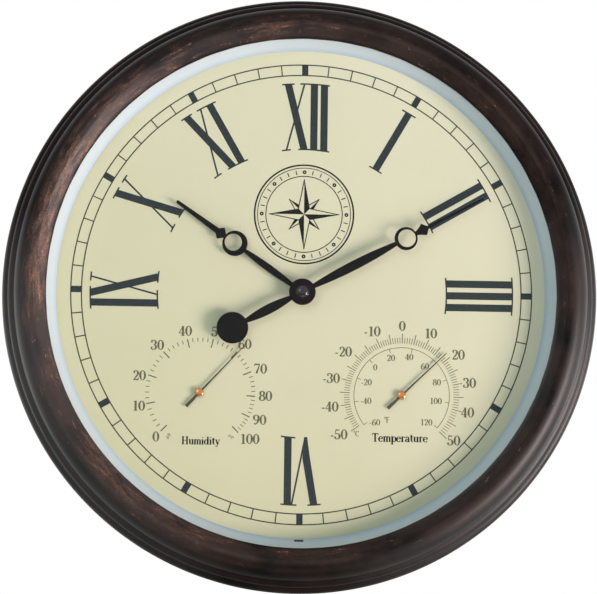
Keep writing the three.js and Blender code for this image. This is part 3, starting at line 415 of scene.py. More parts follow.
finishes = {
    "frame_bronze": frameFinish(frameLook),
    "glass": glassFinish(),
    "rubber": paintFinish("black_rubber", "232323", "171717", 0.8, 80.0, 900.0),
    "foam": paintFinish("grey_foam", "55565A", "38393D", 0.95, 200.0, 1500.0, 0.0004),
    "ring_blue": ringFinish(ringLook),
    "dial_cream": dialFinish(dialLook),
    "hand_black": paintFinish("hand_black_paint", "151413", "0B0A0A", 0.45, 90.0, 1100.0, 0.00004, 0.0, 0.08),
    "copper": metalFinish("polished_copper", "D79A6C", "B4713F", 0.24, (500.0, 500.0, 500.0)),
    "pointer_olive": paintFinish("pointer_olive_paint", "4C4A36", "35331F", 0.5, 200.0, 1200.0, 0.00003, 0.2),
    "cover_plastic": paintFinish("cover_brown_plastic", "302A27", "231E1C", 0.62, 20.0, 1000.0, 0.00015),
    "movement_plastic": paintFinish("movement_black_plastic", "1F2022", "141516", 0.5, 60.0, 1300.0, 0.0001),
    "gear_plastic": paintFinish("natural_white_plastic", "ECE9E0", "DAD6CA", 0.45, 90.0, 900.0),
    "board_green": paintFinish("board_green", "276B42", "174A2B", 0.45, 400.0, 1500.0),
    "brass": metalFinish("plain_brass", "CDB06A", "9C8245", 0.3),
    "steel": metalFinish("zinc_steel", "C4C7C9", "8F9396", 0.33),
    "coil_copper": metalFinish("enamelled_wire", "B5683A", "7A3B1E", 0.35, (4500.0, 60.0, 60.0)),
    "battery_wrap": paintFinish("battery_sleeve", "8F9296", "7C7F83", 0.3, 120.0, 900.0, 0.00003, 0.6),
}
slotOf = {entry["node"]: entry["material_slot"] for entry in frame["record"]["subparts"]}
for nodeName, nodeObject in frame["nodes"].items():
    for materialSlot in nodeObject.material_slots:
        materialSlot.material = finishes[slotOf[nodeName]]
print("solids dressed:", len(finishes), "finishes")


# Frame: the solid's own section, turned finely, with where the paint is rubbed

frameShape = {
    "sightRadius": 257.0, "outerRadius": 305.0, "crestRadius": 273.5, "grooveRadius": 290.3,
    "rimRounding": 2.0, "rimRadius": 297.0, "baseRollWidth": 6.7, "baseRollHeight": 23.5,
    "beadWidth": 8.0, "beadHeight": 16.0, "beadInset": 0.9, "rollFoot": 41.0, "crest": 63.5,
    "crestWidth": 6.0, "crestDrop": 1.6, "slopeTop": (268.0, 62.2), "slopeFoot": (258.2, 56.0),
    "lipMiddle": 54.95, "lipRounding": 0.9, "lipBack": 53.5, "skirtRadius": 264.3, "skirtBack": 27.0,
    "hollowTop": 59.5, "ledge": 9.1, "wall": 3.0, "sides": 288,
}
frameWear = {
    "rim": 0.1, "baseRoll": 0.15, "bead": 0.25, "rollSide": 0.15, "rollTop": 0.5, "crest": 1.0,
    "slope": 0.9, "lip": 0.2, "back": 0.0,
}


def buildFrame(s):
    # the section: rim, base roll, bead, main roll, slope, lip and the hollow behind, turned about the axis
    rim, roll, bead = s["rimRounding"], s["baseRollWidth"], s["beadWidth"]
    wall, lip = s["wall"], s["lipRounding"]
    rollMiddle = s["baseRollHeight"] / 2
    beadMiddle = s["baseRollHeight"] + s["beadHeight"] / 2
    beadCentre = s["outerRadius"] - roll - s["beadInset"] - bead
    crest, foot = (s["crestRadius"], s["crest"] - s["crestDrop"]), (s["crestRadius"], s["rollFoot"])
    rollWidth, rollHeight = s["grooveRadius"] - s["crestRadius"], s["crest"] - s["rollFoot"]
    skirt = s["skirtRadius"] + wall
    sections = {
        "rim": [arcPoints(s["outerRadius"] - rim, rim, rim, rim, -90, -35, 5)],
        "baseRoll": [arcPoints(s["outerRadius"] - roll, rollMiddle, roll, rollMiddle, -42, 84, 22)],
        "bead": [arcPoints(beadCentre, beadMiddle, bead, s["beadHeight"] / 2, -70, 80, 20)],
        "rollSide": [arcPoints(*foot, rollWidth, rollHeight, 2, 60, 18)],
        "rollTop": [arcPoints(*foot, rollWidth, rollHeight, 62, 90, 12)],
        "crest": [arcPoints(*crest, s["crestWidth"], s["crestDrop"], 96, 150, 6)],
        "slope": [np.linspace(s["slopeTop"], s["slopeFoot"], 10)],
        "lip": [arcPoints(s["sightRadius"] + lip, s["lipMiddle"], lip, lip, 110, 190, 5)],
        "back": [
            [[s["sightRadius"], s["lipBack"]], [s["skirtRadius"], s["lipBack"]]],
            [[s["skirtRadius"], s["skirtBack"]], [skirt, s["skirtBack"]], [skirt, s["hollowTop"]]],
            arcPoints(*foot, rollWidth - wall, rollHeight - wall, 90, 0, 8),
            [[s["grooveRadius"] - wall, s["ledge"]], [s["rimRadius"], s["ledge"]], [s["rimRadius"], 0.0]],
        ],
    }
    parts = {name: np.concatenate(pieces) for name, pieces in sections.items()}
    profile = np.concatenate(list(parts.values()))
    rub = np.concatenate([np.full(len(points), frameWear[name]) for name, points in parts.items()])
    rub = np.convolve(np.pad(rub, 2, mode="edge"), np.ones(5) / 5, mode="valid")  # soft from one to the next
    length = np.concatenate([[0], np.cumsum(np.linalg.norm(np.diff(profile, axis=0), axis=1))]) * mm
    angle = wholeTurn(s["sides"])
    turn = [np.repeat(np.cos(angle), len(profile)), np.repeat(np.sin(angle), len(profile))]
    attributes = {
        "around": np.stack([*turn, np.tile(length, s["sides"])], -1),
        "wear": np.tile(rub, s["sides"]),
    }
    patch = lathe(profile, s["sides"], closed=True)
    piece = makePiece("frame_moulding", patch, "case", "frame_bronze", sharpAngle=50, attributes=attributes)
    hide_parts("frame_ring")


buildFrame(frameShape)
print("frame turned")


# White ring between glass and dial, with its drain slot at six o'clock

ringShape = {
    "lowRadius": 248.7, "highRadius": 257.6, "edgeRadius": 263.8, "back": 31.3, "height": 17.3,
    "wall": 1.5, "wallAcross": 1.725, "footFlange": 0.7, "slotWidth": 9.3, "slotLow": 0.75,
    "slotHeight": 4.6, "slotSlant": 0.1, "midLevel": 9.0, "bevel": 1.5, "sides": 240,
}
# a dark plug in the slot, as painted shade for the hollow behind it
drainShadePlugShape = {
    "gap": 0.05, "sink": 0.3, "rounding": 0.5, "roundingDepth": 0.25, "thickness": 1.1, "width": 0.99,
}
bottom = 1.5 * np.pi  # six o'clock


def coneRadius(s, height):
    # how far the ring's face is from the axis, at a height above the wall
    return s["lowRadius"] + (s["highRadius"] - s["lowRadius"]) / s["height"] * (height - s["back"])


def buildInnerRing(s):
    # a straight cone between two flanges; the cells of the slot are left out of the front and back faces
    front, edge = s["back"] + s["height"], s["edgeRadius"]
    slotLow = s["back"] + s["slotLow"]
    slotHigh = slotLow + s["slotHeight"]
    levels = np.array([s["back"], slotLow, slotHigh, s["back"] + s["midLevel"], front - s["bevel"]])
    face = np.stack([coneRadius(s, levels), levels], -1)
    behind = face[::-1] + [s["wallAcross"], 0]
    behind[-1, 1] = slotLow - s["slotSlant"]
    profile = np.concatenate([
        face, [[s["highRadius"], front], [edge, front], [edge, front - s["wall"]]],
        behind, [[edge, s["back"] + s["footFlange"]], [edge, s["back"]]],
    ])
    half = s["slotWidth"] / 2 / s["lowRadius"]
    angle = wholeTurn(s["sides"])
    angle = angle[np.abs(angle - bottom) >= half + 1e-9]
    angle = np.sort(np.append(angle, [bottom - half, bottom + half]))
    points, faces = gridPatch(turnProfile(profile, angle), closeRows=True, closeColumns=True)
    columns = len(profile)
    start = int(np.argmin(np.abs(angle - (bottom - half)))) * columns
    low, high, backLow, backHigh = 1, 2, columns - 4, columns - 5
    faces = [cell for i, cell in enumerate(faces) if i not in (start + low, start + backHigh)]
    rim = [start + low, start + columns + low, start + columns + high, start + high]
    rimBack = [start + backLow, start + columns + backLow, start + columns + backHigh, start + backHigh]
    for i, j in ((0, 1), (1, 2), (2, 3), (3, 0)):
        faces.append([rim[i], rim[j], rimBack[j], rimBack[i]])
    rise = np.tile((profile[:, 1] - s["back"]) / s["height"], len(angle))
    piece = makePiece("white_ring", (points, faces), "case", "ring_blue", attributes={"rise": rise})
    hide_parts("inner_ring")


def buildDrainFilter(ring, s):
    # a dark plug that fills the ring's slot, a little below its face: painted shade for the dark hollow
    # behind the slot
    low = ring["back"] + ring["slotLow"] + s["gap"]
    high = low + ring["slotHeight"] - 2 * s["gap"]
    height = np.array([low, low + s["rounding"], high - s["rounding"], high])
    face = coneRadius(ring, height) + s["sink"]
    face[[0, 3]] += s["roundingDepth"]
    back = [[face[3] + s["thickness"], high], [face[0] + s["thickness"], low]]
    profile = np.concatenate([np.stack([face, height], -1), back])
    half = ring["slotWidth"] / 2 / ring["lowRadius"] * s["width"]
    points, faces = gridPatch(turnProfile(profile, bottom + np.linspace(-half, half, 7)), closeColumns=True)
    count = len(profile)
    faces += [list(range(count)), list(range(len(points) - count, len(points)))]
    makePiece("drain_filter", (points, faces), "case", "rubber", sharpAngle=35)


buildInnerRing(ringShape)
buildDrainFilter(ringShape, drainShadePlugShape)
print("ring turned")


# Dial print: every mark is a stroke, a flat bar of ink along a path, in dial millimetres

inks = {
    "numeral": inkFinish("ink_slate", "394143", "2B3134"),
    "track": inkFinish("ink_dark_olive", "4B4C42", "3C3D34"),
    "gauge": inkFinish("ink_olive", "73725A", "5F5E46"),
    "legend": inkFinish("ink_black", "201F1D", "141312"),
}
dialLevel = (wallY - dialY) / mm  # the dial's face, above the wall
inkShape = {"height": 0.1, "gap": 0.005, "rise": 0.0015, "undersideRise": 0.0005, "levels": 40}
printShift = (0.5, -0.1)  # the print sits a hair beside the axis, as in the photograph


class Print:
    # collects strokes of one ink; each next one lies a hair higher, so that crossings stay clean
    def __init__(self, name, ink):
        self.name, self.ink, self.patches = name, ink, []

    def levels(self):
        # the next stroke's place in the order, and the height of its top
        order = len(self.patches) % inkShape["levels"]
        return order, dialLevel + inkShape["height"] + inkShape["rise"] * order

    def stroke(self, path, halfWidth, closed=False):
        shifted, low = np.asarray(path) + printShift, dialLevel + inkShape["gap"]
        self.patches.append(strokePatch(shifted, halfWidth, low, self.levels()[1], closed=closed))

    def area(self, corners):
        # a filled shape with straight sides
        flat, (order, high) = np.asarray(corners) + printShift, self.levels()
        low = dialLevel + inkShape["gap"] + inkShape["undersideRise"] * order
        points, faces = gridPatch(raised(np.stack([flat, flat]), [[low], [high]]), closeColumns=True)
        ends = [list(range(len(flat))), list(range(len(flat), 2 * len(flat)))]
        self.patches.append((points, faces + ends))

    def circle(self, centre, radius, halfWidth, steps, start=0, end=360):
        # angles run clockwise from twelve
        path = arcPoints(*centre, radius, radius, 90 - start, 90 - end, steps)
        self.stroke(path, halfWidth, end - start >= 360)

    def spoke(self, centre, angle, inner, outer, halfWidth):
        self.stroke([centre + inner * direction(angle), centre + outer * direction(angle)], halfWidth)

    def finish(self):
        makePiece(self.name, joinPatches(self.patches), "case", "dial_cream", self.ink)


trackShape = {
    "outer": 234.5, "inner": 223.7, "circleHalf": 0.6, "lineHalf": 0.58, "blockHalf": 3.2, "steps": 240,
}


def buildTrack(s):
    # two circles, with a line between them at each minute and a block at each hour
    track, blocks = Print("minute_track", inks["track"]), Print("hour_blocks", inks["numeral"])
    for radius in (s["outer"], s["inner"]):
        track.circle((0, 0), radius, s["circleHalf"], s["steps"])
    for minute in range(60):
        sheet, half = (track, s["lineHalf"]) if minute % 5 else (blocks, s["blockHalf"])
        sheet.spoke(np.zeros(2), minute * 6, s["inner"], s["outer"], half)
    track.finish()
    blocks.finish()


# Numerals stand between two circles, base towards the centre; x runs clockwise, from the hour's radius.
# An I says how far its serifs reach at the outer and at the inner end.
numeralShape = {
    "inner": 146.4, "outer": 215.6, "thick": 3.7, "thin": 0.84, "serif": 0.74,
    "outerReach": 6.4, "innerReach": 5.9, "crossOuter": 8.3, "crossInner": 8.6, "crossThin": 8.9,
    "crossShift": -0.5, "thinReach": 4.5, "serifGap": 0.3, "serifSteps": 9,
    "leftOfV": [(-5.2, -0.01, 1.6), (-6.0, 0.3, 3.8), (-14.2, 1, 3.7)],
    "rightOfV": [(-4.4, 0.02, 0.84), (8.3, 1, 0.84)], "serifsOfV": [(-21.3, -7.9), (3.1, 12.0)],
}
numerals = {
    12: [("X", -8.8), ("I", 9.7, 6.5, 6.5), ("I", 20.0, 5.6, 5.6)],
    1: [("I", -0.35, 8.0, 7.3)],
    2: [("I", -7.1, 7.5, 6.9), ("I", 4.75, 7.5, 6.8)],
    3: [("I", -11.5, 7.6, 6.2), ("I", 0.6, 6.0, 6.0), ("I", 12.6, 7.4, 6.7)],
    6: [("V", 0.0), ("I", 12.55, 6.9, 7.3)],
    9: [("I", -12.9, 6.8, 6.0), ("X", 5.1)],
    10: [("X", -1.6)],
    11: [("X", -7.4), ("I", 11.2, 7.0, 6.8)],
}


def letterStrokes(letter, x, s, outer=0, inner=0):
    # bars as lists of (x, share of the way out, half width), and the serifs' spans at the outer and inner end
    thick, thin, reach, light = s["thick"], s["thin"], s["outerReach"], s["thinReach"]
    if letter == "I":
        return [[(x, 0, thick), (x, 1, thick)]], [(x - outer, x + outer)], [(x - inner, x + inner)]
    if letter == "X":
        high, low = x - s["crossOuter"], x + s["crossInner"]
        middle, fine = x + s["crossShift"], s["crossThin"]
        bars = [[(low, 0, thick), (high, 1, thick)], [(middle - fine, 0, thin), (middle + fine, 1, thin)]]
        outside = [(high - reach, high + reach), (middle + fine - light, middle + fine + light)]
        reach = s["innerReach"]
        inside = [(middle - fine - light, middle - fine + light), (low - reach, low + reach)]
        return bars, outside, inside
    bars = [[(x + place, share, half) for place, share, half in s[bar]] for bar in ("leftOfV", "rightOfV")]
    return bars, [(x + start, x + end) for start, end in s["serifsOfV"]], []


def joinSpans(spans, gap):
    # serif spans that touch, or nearly, become one
    joined = []
    for low, high in sorted(spans):
        if joined and low <= joined[-1][1] + gap:
            joined[-1][1] = max(joined[-1][1], high)
        else:
            joined.append([low, high])
    return joined


def buildNumerals(s):
    # straight bars, with serifs that follow the two circles
    face = Print("hour_numerals", inks["numeral"])
    low, high = s["inner"] + s["serif"], s["outer"] - s["serif"]
    for hour, letters in numerals.items():
        across, outward = direction(hour * 30 + 90), direction(hour * 30)
        outside, inside = [], []
        for letter, x, *reaches in letters:
            bars, outerSpans, innerSpans = letterStrokes(letter, x, s, *reaches)
            outside += outerSpans
            inside += innerSpans
            for bar in bars:
                # the circles fall away beside the hour's radius
                points = np.array([[px, low + (high - low) * share] for px, share, _ in bar])
                bulge = points[:, :1] ** 2 / 2 / points[:, 1:]
                path = points[:, :1] * across + (points[:, 1:] - bulge) * outward
                face.stroke(path, [half for _, _, half in bar])
        for spans, radius in ((outside, high), (inside, low)):
            for start, end in joinSpans(spans, s["serifGap"]):
                x = np.linspace(start, end, s["serifSteps"])
                path = x[:, None] * across + np.sqrt(radius ** 2 - x ** 2)[:, None] * outward
                face.stroke(path, s["serif"])
    face.finish()


# Figures and letters, one high: bars go from x0, y0 to x1, y1 with a half width at each end, and arcs round
# x, y are thick at their sides
figureStyle = {
    "thin": 0.034, "thick": 0.105, "dot": 0.055, "swell": 2.2, "smallArc": 0.14, "smallSwell": 0.015,
    "advance": 0.66, "arcStep": 15, "leastSteps": 8,
}
stemHalf, hairHalf = figureStyle["thick"] * 0.95, figureStyle["thin"]


def bar(x0, y0, x1, y1, start, end=None):
    return "bar", x0, y0, x1, y1, start, start if end is None else end


def stem(x, low, high):
    return bar(x, low, x, high, stemHalf)


def hair(x0, y0, x1, y1):
    return bar(x0, y0, x1, y1, hairHalf)


def serif(left, right, y=0.03, half=hairHalf):
    return bar(left, y, right, y, half)


def arc(x, y, rx, ry, start=0, end=360):
    return "arc", x, y, rx, ry, start, end


def dot(x, y):
    return arc(x, y, figureStyle["dot"] / 2, figureStyle["dot"] / 2)


figures = {
    "0": [arc(0.33, 0.5, 0.235, 0.465)],
    "1": [stem(0.33, 0.02, 0.97), hair(0.33, 0.96, 0.13, 0.86), serif(0.14, 0.52)],
    "2": [arc(0.33, 0.71, 0.21, 0.255, 160, -30), bar(0.5, 0.56, 0.12, 0.07, 0.08, hairHalf),
          serif(0.09, 0.58, 0.07, 0.065), dot(0.17, 0.75), hair(0.57, 0.07, 0.59, 0.26)],
    "3": [arc(0.29, 0.745, 0.215, 0.22, 160, -85), arc(0.29, 0.275, 0.24, 0.24, 88, -160), dot(0.13, 0.77),
          dot(0.11, 0.25)],
    "4": [stem(0.43, 0.02, 0.98), hair(0.42, 0.96, 0.06, 0.28), serif(0.03, 0.64, 0.27), serif(0.26, 0.6)],
    "5": [bar(0.15, 0.93, 0.52, 0.93, 0.07, 0.045), hair(0.15, 0.96, 0.13, 0.52),
          arc(0.29, 0.31, 0.25, 0.275, 125, -160), dot(0.12, 0.24)],
    "6": [arc(0.34, 0.29, 0.23, 0.26), arc(0.56, 0.34, 0.45, 0.63, 98, 172), dot(0.5, 0.86)],
    "7": [serif(0.08, 0.59, 0.92, 0.07), bar(0.58, 0.9, 0.27, 0.02, hairHalf, stemHalf),
          hair(0.08, 0.96, 0.08, 0.74)],
    "8": [arc(0.33, 0.745, 0.19, 0.22), arc(0.33, 0.27, 0.235, 0.24)],
    "9": [arc(0.32, 0.71, 0.23, 0.26), arc(0.1, 0.66, 0.45, 0.63, -82, -8), dot(0.16, 0.14)],
    "-": [serif(0.08, 0.34, 0.33, 0.055)],
    "%": [arc(0.16, 0.76, 0.13, 0.19), arc(0.58, 0.24, 0.13, 0.19), hair(0.16, 0.02, 0.58, 0.98)],
    "o": [arc(0.14, 0.84, 0.11, 0.13)],
    "C": [arc(0.36, 0.5, 0.27, 0.46, 42, 318), hair(0.57, 0.95, 0.57, 0.7)],
    "F": [stem(0.16, 0.02, 0.98), serif(0.04, 0.58, 0.93, 0.06), serif(0.16, 0.46, 0.5, 0.06),
          serif(0.03, 0.3)],
    "H": [stem(0.17, 0.02, 0.98), stem(0.67, 0.02, 0.98), serif(0.17, 0.67, 0.51), serif(0.02, 0.33),
          serif(0.02, 0.33, 0.97), serif(0.51, 0.82), serif(0.51, 0.82, 0.97)],
    "T": [stem(0.37, 0.02, 0.98), serif(0.03, 0.71, 0.95, 0.045), hair(0.05, 0.97, 0.04, 0.74),
          hair(0.69, 0.97, 0.7, 0.74), serif(0.21, 0.53)],
    "u": [stem(0.16, 0.18, 0.64), stem(0.5, 0.02, 0.64), arc(0.32, 0.2, 0.16, 0.165, 180, 335),
          serif(0.02, 0.16, 0.62), serif(0.36, 0.5, 0.62), serif(0.5, 0.64)],
    "m": [stem(0.15, 0.02, 0.64), stem(0.46, 0.02, 0.46), stem(0.77, 0.02, 0.46),
          arc(0.31, 0.46, 0.15, 0.165, 160, 0), arc(0.62, 0.46, 0.15, 0.165, 160, 0), serif(0.02, 0.15, 0.62),
          serif(0.03, 0.27), serif(0.35, 0.58), serif(0.65, 0.89)],
    "i": [stem(0.16, 0.02, 0.64), serif(0.03, 0.16, 0.62), serif(0.03, 0.29), dot(0.15, 0.87)],
    "d": [arc(0.28, 0.32, 0.19, 0.295), stem(0.49, 0.02, 0.98), serif(0.35, 0.49, 0.96), serif(0.49, 0.62)],
    "t": [stem(0.18, 0.14, 0.84), arc(0.3, 0.16, 0.12, 0.13, 180, 320), serif(0.02, 0.36, 0.62)],
    "y": [bar(0.13, 0.62, 0.33, 0.02, 0.085), hair(0.53, 0.62, 0.24, -0.22), serif(0.02, 0.27, 0.62),
          serif(0.42, 0.63, 0.62), dot(0.15, -0.22)],
    "e": [arc(0.28, 0.32, 0.21, 0.295, 8, 325), serif(0.09, 0.48, 0.36)],
    "p": [stem(0.15, -0.28, 0.64), arc(0.36, 0.32, 0.19, 0.295), serif(0.02, 0.15, 0.62),
          serif(0.02, 0.29, -0.27)],
    "r": [stem(0.16, 0.02, 0.64), arc(0.32, 0.44, 0.15, 0.175, 160, 70), dot(0.4, 0.57),
          serif(0.03, 0.16, 0.62), serif(0.03, 0.3)],
    "a": [arc(0.25, 0.44, 0.15, 0.175, 0, 150), stem(0.41, 0.05, 0.46), arc(0.25, 0.18, 0.16, 0.155, 30, 330),
          dot(0.13, 0.52), serif(0.41, 0.54)],
}
advances = {
    "1": 0.60, "-": 0.42, "o": 0.30, "i": 0.33, "t": 0.40, "r": 0.48, "e": 0.55, "a": 0.56, "m": 0.92,
    "p": 0.62, "y": 0.64, "H": 0.86, "T": 0.74,
}


def write(sheet, text, centre, height, tilt=0.0, weight=1.0):
    # centres a row of figures on a point; tilt turns it clockwise, in degrees
    style = figureStyle
    steps = [advances.get(c, style["advance"]) for c in text]
    x = -sum(steps) / 2
    turn = np.stack([direction(tilt + 90), direction(tilt)])

    def place(points):
        return np.asarray(centre) + (np.asarray(points) - [0, 0.5]) * height @ turn

    for character, step in zip(text, steps):
        for kind, *sizes in figures[character]:
            if kind == "bar":
                x0, y0, x1, y1, *halves = sizes
                sheet.stroke(place([[x + x0, y0], [x + x1, y1]]), np.array(halves) * height * weight)
                continue
            cx, cy, rx, ry, start, end = sizes
            full = abs(end - start) >= 360
            count = max(style["leastSteps"], int(abs(end - start) / style["arcStep"]))
            angle = np.radians(np.linspace(start, end, count + 1)[: count if full else count + 1])
            path = np.stack([x + cx + rx * np.cos(angle), cy + ry * np.sin(angle)], -1)
            swell = style["thick"] - style["thin"] if rx > style["smallArc"] else style["smallSwell"]
            half = style["thin"] + swell * np.abs(np.cos(angle)) ** style["swell"]
            sheet.stroke(place(path), half * height * weight, full)
        x += step


gaugeCentres = {"humidity": np.array([-102.4, -103.0]), "temperature": np.array([102.4, -103.0])}
humidityScale = {
    # at 0, 10 ... 100 %
    "angles": [-135.1, -102.4, -72.0, -42.7, -14.5, 12.8, 40.9, 66.8, 93.1, 115.6, 135.7],
    "majorInner": 46.8, "minorInner": 51.6, "outer": 55.6, "majorHalf": 0.56, "minorHalf": 0.36,
    "figures": [(-43.9, -44.9), (-61.8, -14.0), (-61.8, 16.6), (-44.2, 47.6), (-16.2, 62.3), (16.8, 62.1),
                (44.3, 49.8), (60.4, 25.1), (66.0, -2.4), (60.4, -26.6), (50.7, -46.0)],
    "figureHeight": 10.2, "percent": [(-31.5, -44.0, 48), (31.5, -44.0, -38)], "percentHeight": 5.6,
    "percentWeight": 0.8, "nudge": (0.5, 0.07),
}


def buildHumidityScale(s):
    # ticks two by two percent, longer and named at the tens; between two tens they are evenly spread
    sheet = Print("humidity_scale", inks["gauge"])
    centre = gaugeCentres["humidity"] + s["nudge"]
    tens = list(range(0, 101, 10))
    for percent in range(0, 101, 2):
        angle = float(np.interp(percent, tens, s["angles"]))
        major = percent % 10 == 0
        inner, half = (s["majorInner"], s["majorHalf"]) if major else (s["minorInner"], s["minorHalf"])
        sheet.spoke(centre, angle, inner, s["outer"], half)
    for percent, place in zip(tens, s["figures"]):
        write(sheet, str(percent), centre + place, s["figureHeight"])
    for x, y, tilt in s["percent"]:
        write(sheet, "%", centre + (x, y), s["percentHeight"], tilt, s["percentWeight"])
    sheet.finish()


temperatureScale = {
    # at -50, -40 ... 50 degrees Celsius, and inside at -60, -40 ... 120 Fahrenheit
    "angles": [-125.7, -100.3, -75.2, -50.0, -24.8, 0.2, 25.6, 51.0, 77.8, 104.4, 133.2],
    "innerAngles": [-128.3, -98.3, -69.5, -42.7, -15.5, 12.2, 41.0, 70.2, 98.1, 131.7],
    "ring": 48.6, "tickInner": 52.9, "minorOuter": 58.8, "majorOuter": 63.0,
    "innerTick": 4.0, "half": 0.28, "majorHalf": 0.36, "ringSteps": 120,
    "figures": [(-63.6, -40.2), (-73.0, -12.2), (-71.9, 16.6), (-60.0, 43.7), (-30.7, 64.8), (0.0, 70.7),
                (29.2, 63.6), (57.3, 42.3), (69.0, 13.8), (67.2, -16.2), (53.3, -44.8)],
    "innerFigures": [(-27.2, -27.6), (-36.3, -5.9), (-36.1, 13.0), (-27.2, 28.2), (-11.3, 38.0), (7.3, 39.3),
                     (23.4, 30.0), (35.7, 13.9), (34.8, -5.1), (25.3, -26.8)],
    "figureHeight": 10.2, "innerFigureHeight": 6.4, "innerWeight": 0.9, "unitHeight": 6.0, "unitWeight": 0.8,
    "units": {"oC": (-45.8, -39.2), "oF": (-14.7, -24.8)}, "nudge": (-0.1, 0.07),
}


def buildTemperatureScale(s):
    # a ring with a tick at each degree Celsius outside it, and the Fahrenheit scale inside it
    sheet = Print("temperature_scale", inks["gauge"])
    centre = gaugeCentres["temperature"] + s["nudge"]
    tens = list(range(-50, 51, 10))
    ringStart, *_, ringEnd = s["innerAngles"]
    sheet.circle(centre, s["ring"], s["half"], s["ringSteps"], ringStart, ringEnd)
    for t in range(-50, 51):
        outer, half = (s["majorOuter"], s["majorHalf"]) if t % 5 == 0 else (s["minorOuter"], s["half"])
        sheet.spoke(centre, float(np.interp(t, tens, s["angles"])), s["tickInner"], outer, half)
    for angle in s["innerAngles"]:
        sheet.spoke(centre, angle, s["ring"] - s["innerTick"], s["ring"], s["half"])
    for t, place in zip(tens, s["figures"]):
        write(sheet, str(t), centre + place, s["figureHeight"])
    for t, place in zip(range(-60, 121, 20), s["innerFigures"]):
        write(sheet, str(t), centre + place, s["innerFigureHeight"], 0, s["innerWeight"])
    for unit, place in s["units"].items():
        write(sheet, unit, centre + place, s["unitHeight"], 0, s["unitWeight"])
    sheet.finish()


legends = {
    "humidity": {"text": "Humidity", "centre": (2.0, -48.2), "height": 8.1, "weight": 0.95},
    "temperature": {"text": "Temperature", "centre": (-1.6, -42.7), "height": 8.7, "weight": 0.95},
}


def buildLegend(gauge, s):
    # the gauge's name, below its middle
    sheet = Print(gauge + "_legend", inks["legend"])
    write(sheet, s["text"], gaugeCentres[gauge] + s["centre"], s["height"], 0, s["weight"])
    sheet.finish()


# A traditional compass star in three rings, above the hands
starShape = {
    "centre": (0.75, 80.35), "outerRing": 50.5, "innerRing": 39.0, "longPoint": 36.0, "shortPoint": 22.0,
    "waist": 8.2, "shortWaist": 6.6, "line": 0.45, "heavy": 0.8, "fine": 0.36, "thirdRing": 47.5,
    "dashes": 32, "dashHalf": 2.2, "dotRadius": 1.3, "dotHalf": 0.7, "dotSteps": 16, "ringSteps": 120,
}


def meeting(firstStart, firstEnd, secondStart, secondEnd):
    # the point where two straight lines cross
    ways = np.stack([firstEnd - firstStart, secondStart - secondEnd], -1)
    return firstStart + np.linalg.solve(ways, secondStart - firstStart)[0] * (firstEnd - firstStart)


def buildCompassStar(s):
    # three rings, dashes and dots between two of them, and eight points inside
    sheet = Print("compass_star", inks["legend"])
    centre = np.array(s["centre"])

    def spot(turn, reach):
        return centre + reach * direction(turn)

    for radius, half in (("outerRing", "heavy"), ("innerRing", "line"), ("thirdRing", "fine")):
        sheet.circle(centre, s[radius], s[half], s["ringSteps"])
    middle = (s["thirdRing"] + s["innerRing"]) / 2
    for i in range(s["dashes"]):
        angle = 360 / s["dashes"] * i
        if i % 4 == 0:
            sheet.circle(spot(angle, middle), s["dotRadius"], s["dotHalf"], s["dotSteps"])
        else:
            sheet.spoke(centre, angle, middle - s["dashHalf"], middle + s["dashHalf"], s["line"])
    for turn in range(0, 360, 90):
        # a long point and the short one clockwise of it: one half dark, the other an outline
        tip, corner = spot(turn, s["longPoint"]), spot(turn + 45, s["waist"])
        shortTip = spot(turn + 45, s["shortPoint"])
        near = meeting(shortTip, spot(turn, s["shortWaist"]), tip, corner)
        far = meeting(shortTip, spot(turn + 90, s["shortWaist"]), spot(turn + 90, s["longPoint"]), corner)
        sheet.area([centre, tip, corner])
        sheet.area([corner, shortTip, far])
        sheet.stroke([tip, spot(turn - 45, s["waist"])], s["line"])
        sheet.stroke([shortTip, near], s["line"])
    sheet.finish()


buildTrack(trackShape)
buildNumerals(numeralShape)
buildHumidityScale(humidityScale)
buildTemperatureScale(temperatureScale)
for gaugeName, legend in legends.items():
    buildLegend(gaugeName, legend)
buildCompassStar(starShape)
print("dial printed")


# Hands: a leaf, a pierced ring, a diamond and a needle, each a bar of changing width along the hand

handStyle = {
    "thickness": 1.0, "edge": 0.35, "crown": 0.12, "hub": 9.0, "hubHalf": 2.2, "hubEdge": 2.0,
    "leafStart": 11.0, "tailStart": 12.0, "overlap": 1.0, "neckOverlap": 0.6,
    "tip": [(1.4, 1.0), (0.4, 0.75), (0.0, 0.25)],  # how far before the end, and the width's share there
    "dome": [(0.6, 0.05), (0.0, 0.08)],  # a disc's share of the radius, and its rise there
    "hubRise": 0.02, "ringDrop": 0.01,  # so that no two faces lie in one plane
}
hourHand = {
    "back": 36.7, "turn": 305.16, "reach": 157.3, "leafHalf": 3.6, "leafRoot": 1.9, "leafEnd": 1.8,
    "ringReach": 84.3, "ringRadius": 12.9, "hole": 8.7, "holeShift": 2.0,
    "neck": 1.9, "diamondReach": 102.0, "diamondHalf": 6.9, "diamondEnd": 106.4, "flare": 1.0,
    "needleRoot": 3.0, "needleTip": 1.75,
}
minuteHand = {
    "back": 40.9, "turn": 61.9, "reach": 208.6, "leafHalf": 4.85, "leafRoot": 2.2, "leafEnd": 2.1,
    "ringReach": 118.9, "ringRadius": 11.8, "hole": 9.05, "holeShift": 1.0,
    "neck": 2.1, "diamondReach": 139.5, "diamondHalf": 6.6, "diamondEnd": 143.9, "flare": 1.5,
    "needleRoot": 1.7, "needleTip": 1.1,
    "tailHalf": 4.9, "discReach": 79.5, "discRadius": 16.0,
}


def leafWidths(start, end, root, widest, tip, steps=28):
    # half widths along a leaf: a parabola over its length, on top of a straight line from root to tip
    t = np.linspace(0, 1, steps)
    ends = root + (tip - root) * t
    return np.linspace(start, end, steps), ends + (widest - ends) * (1 - (2 * t - 1) ** 2)


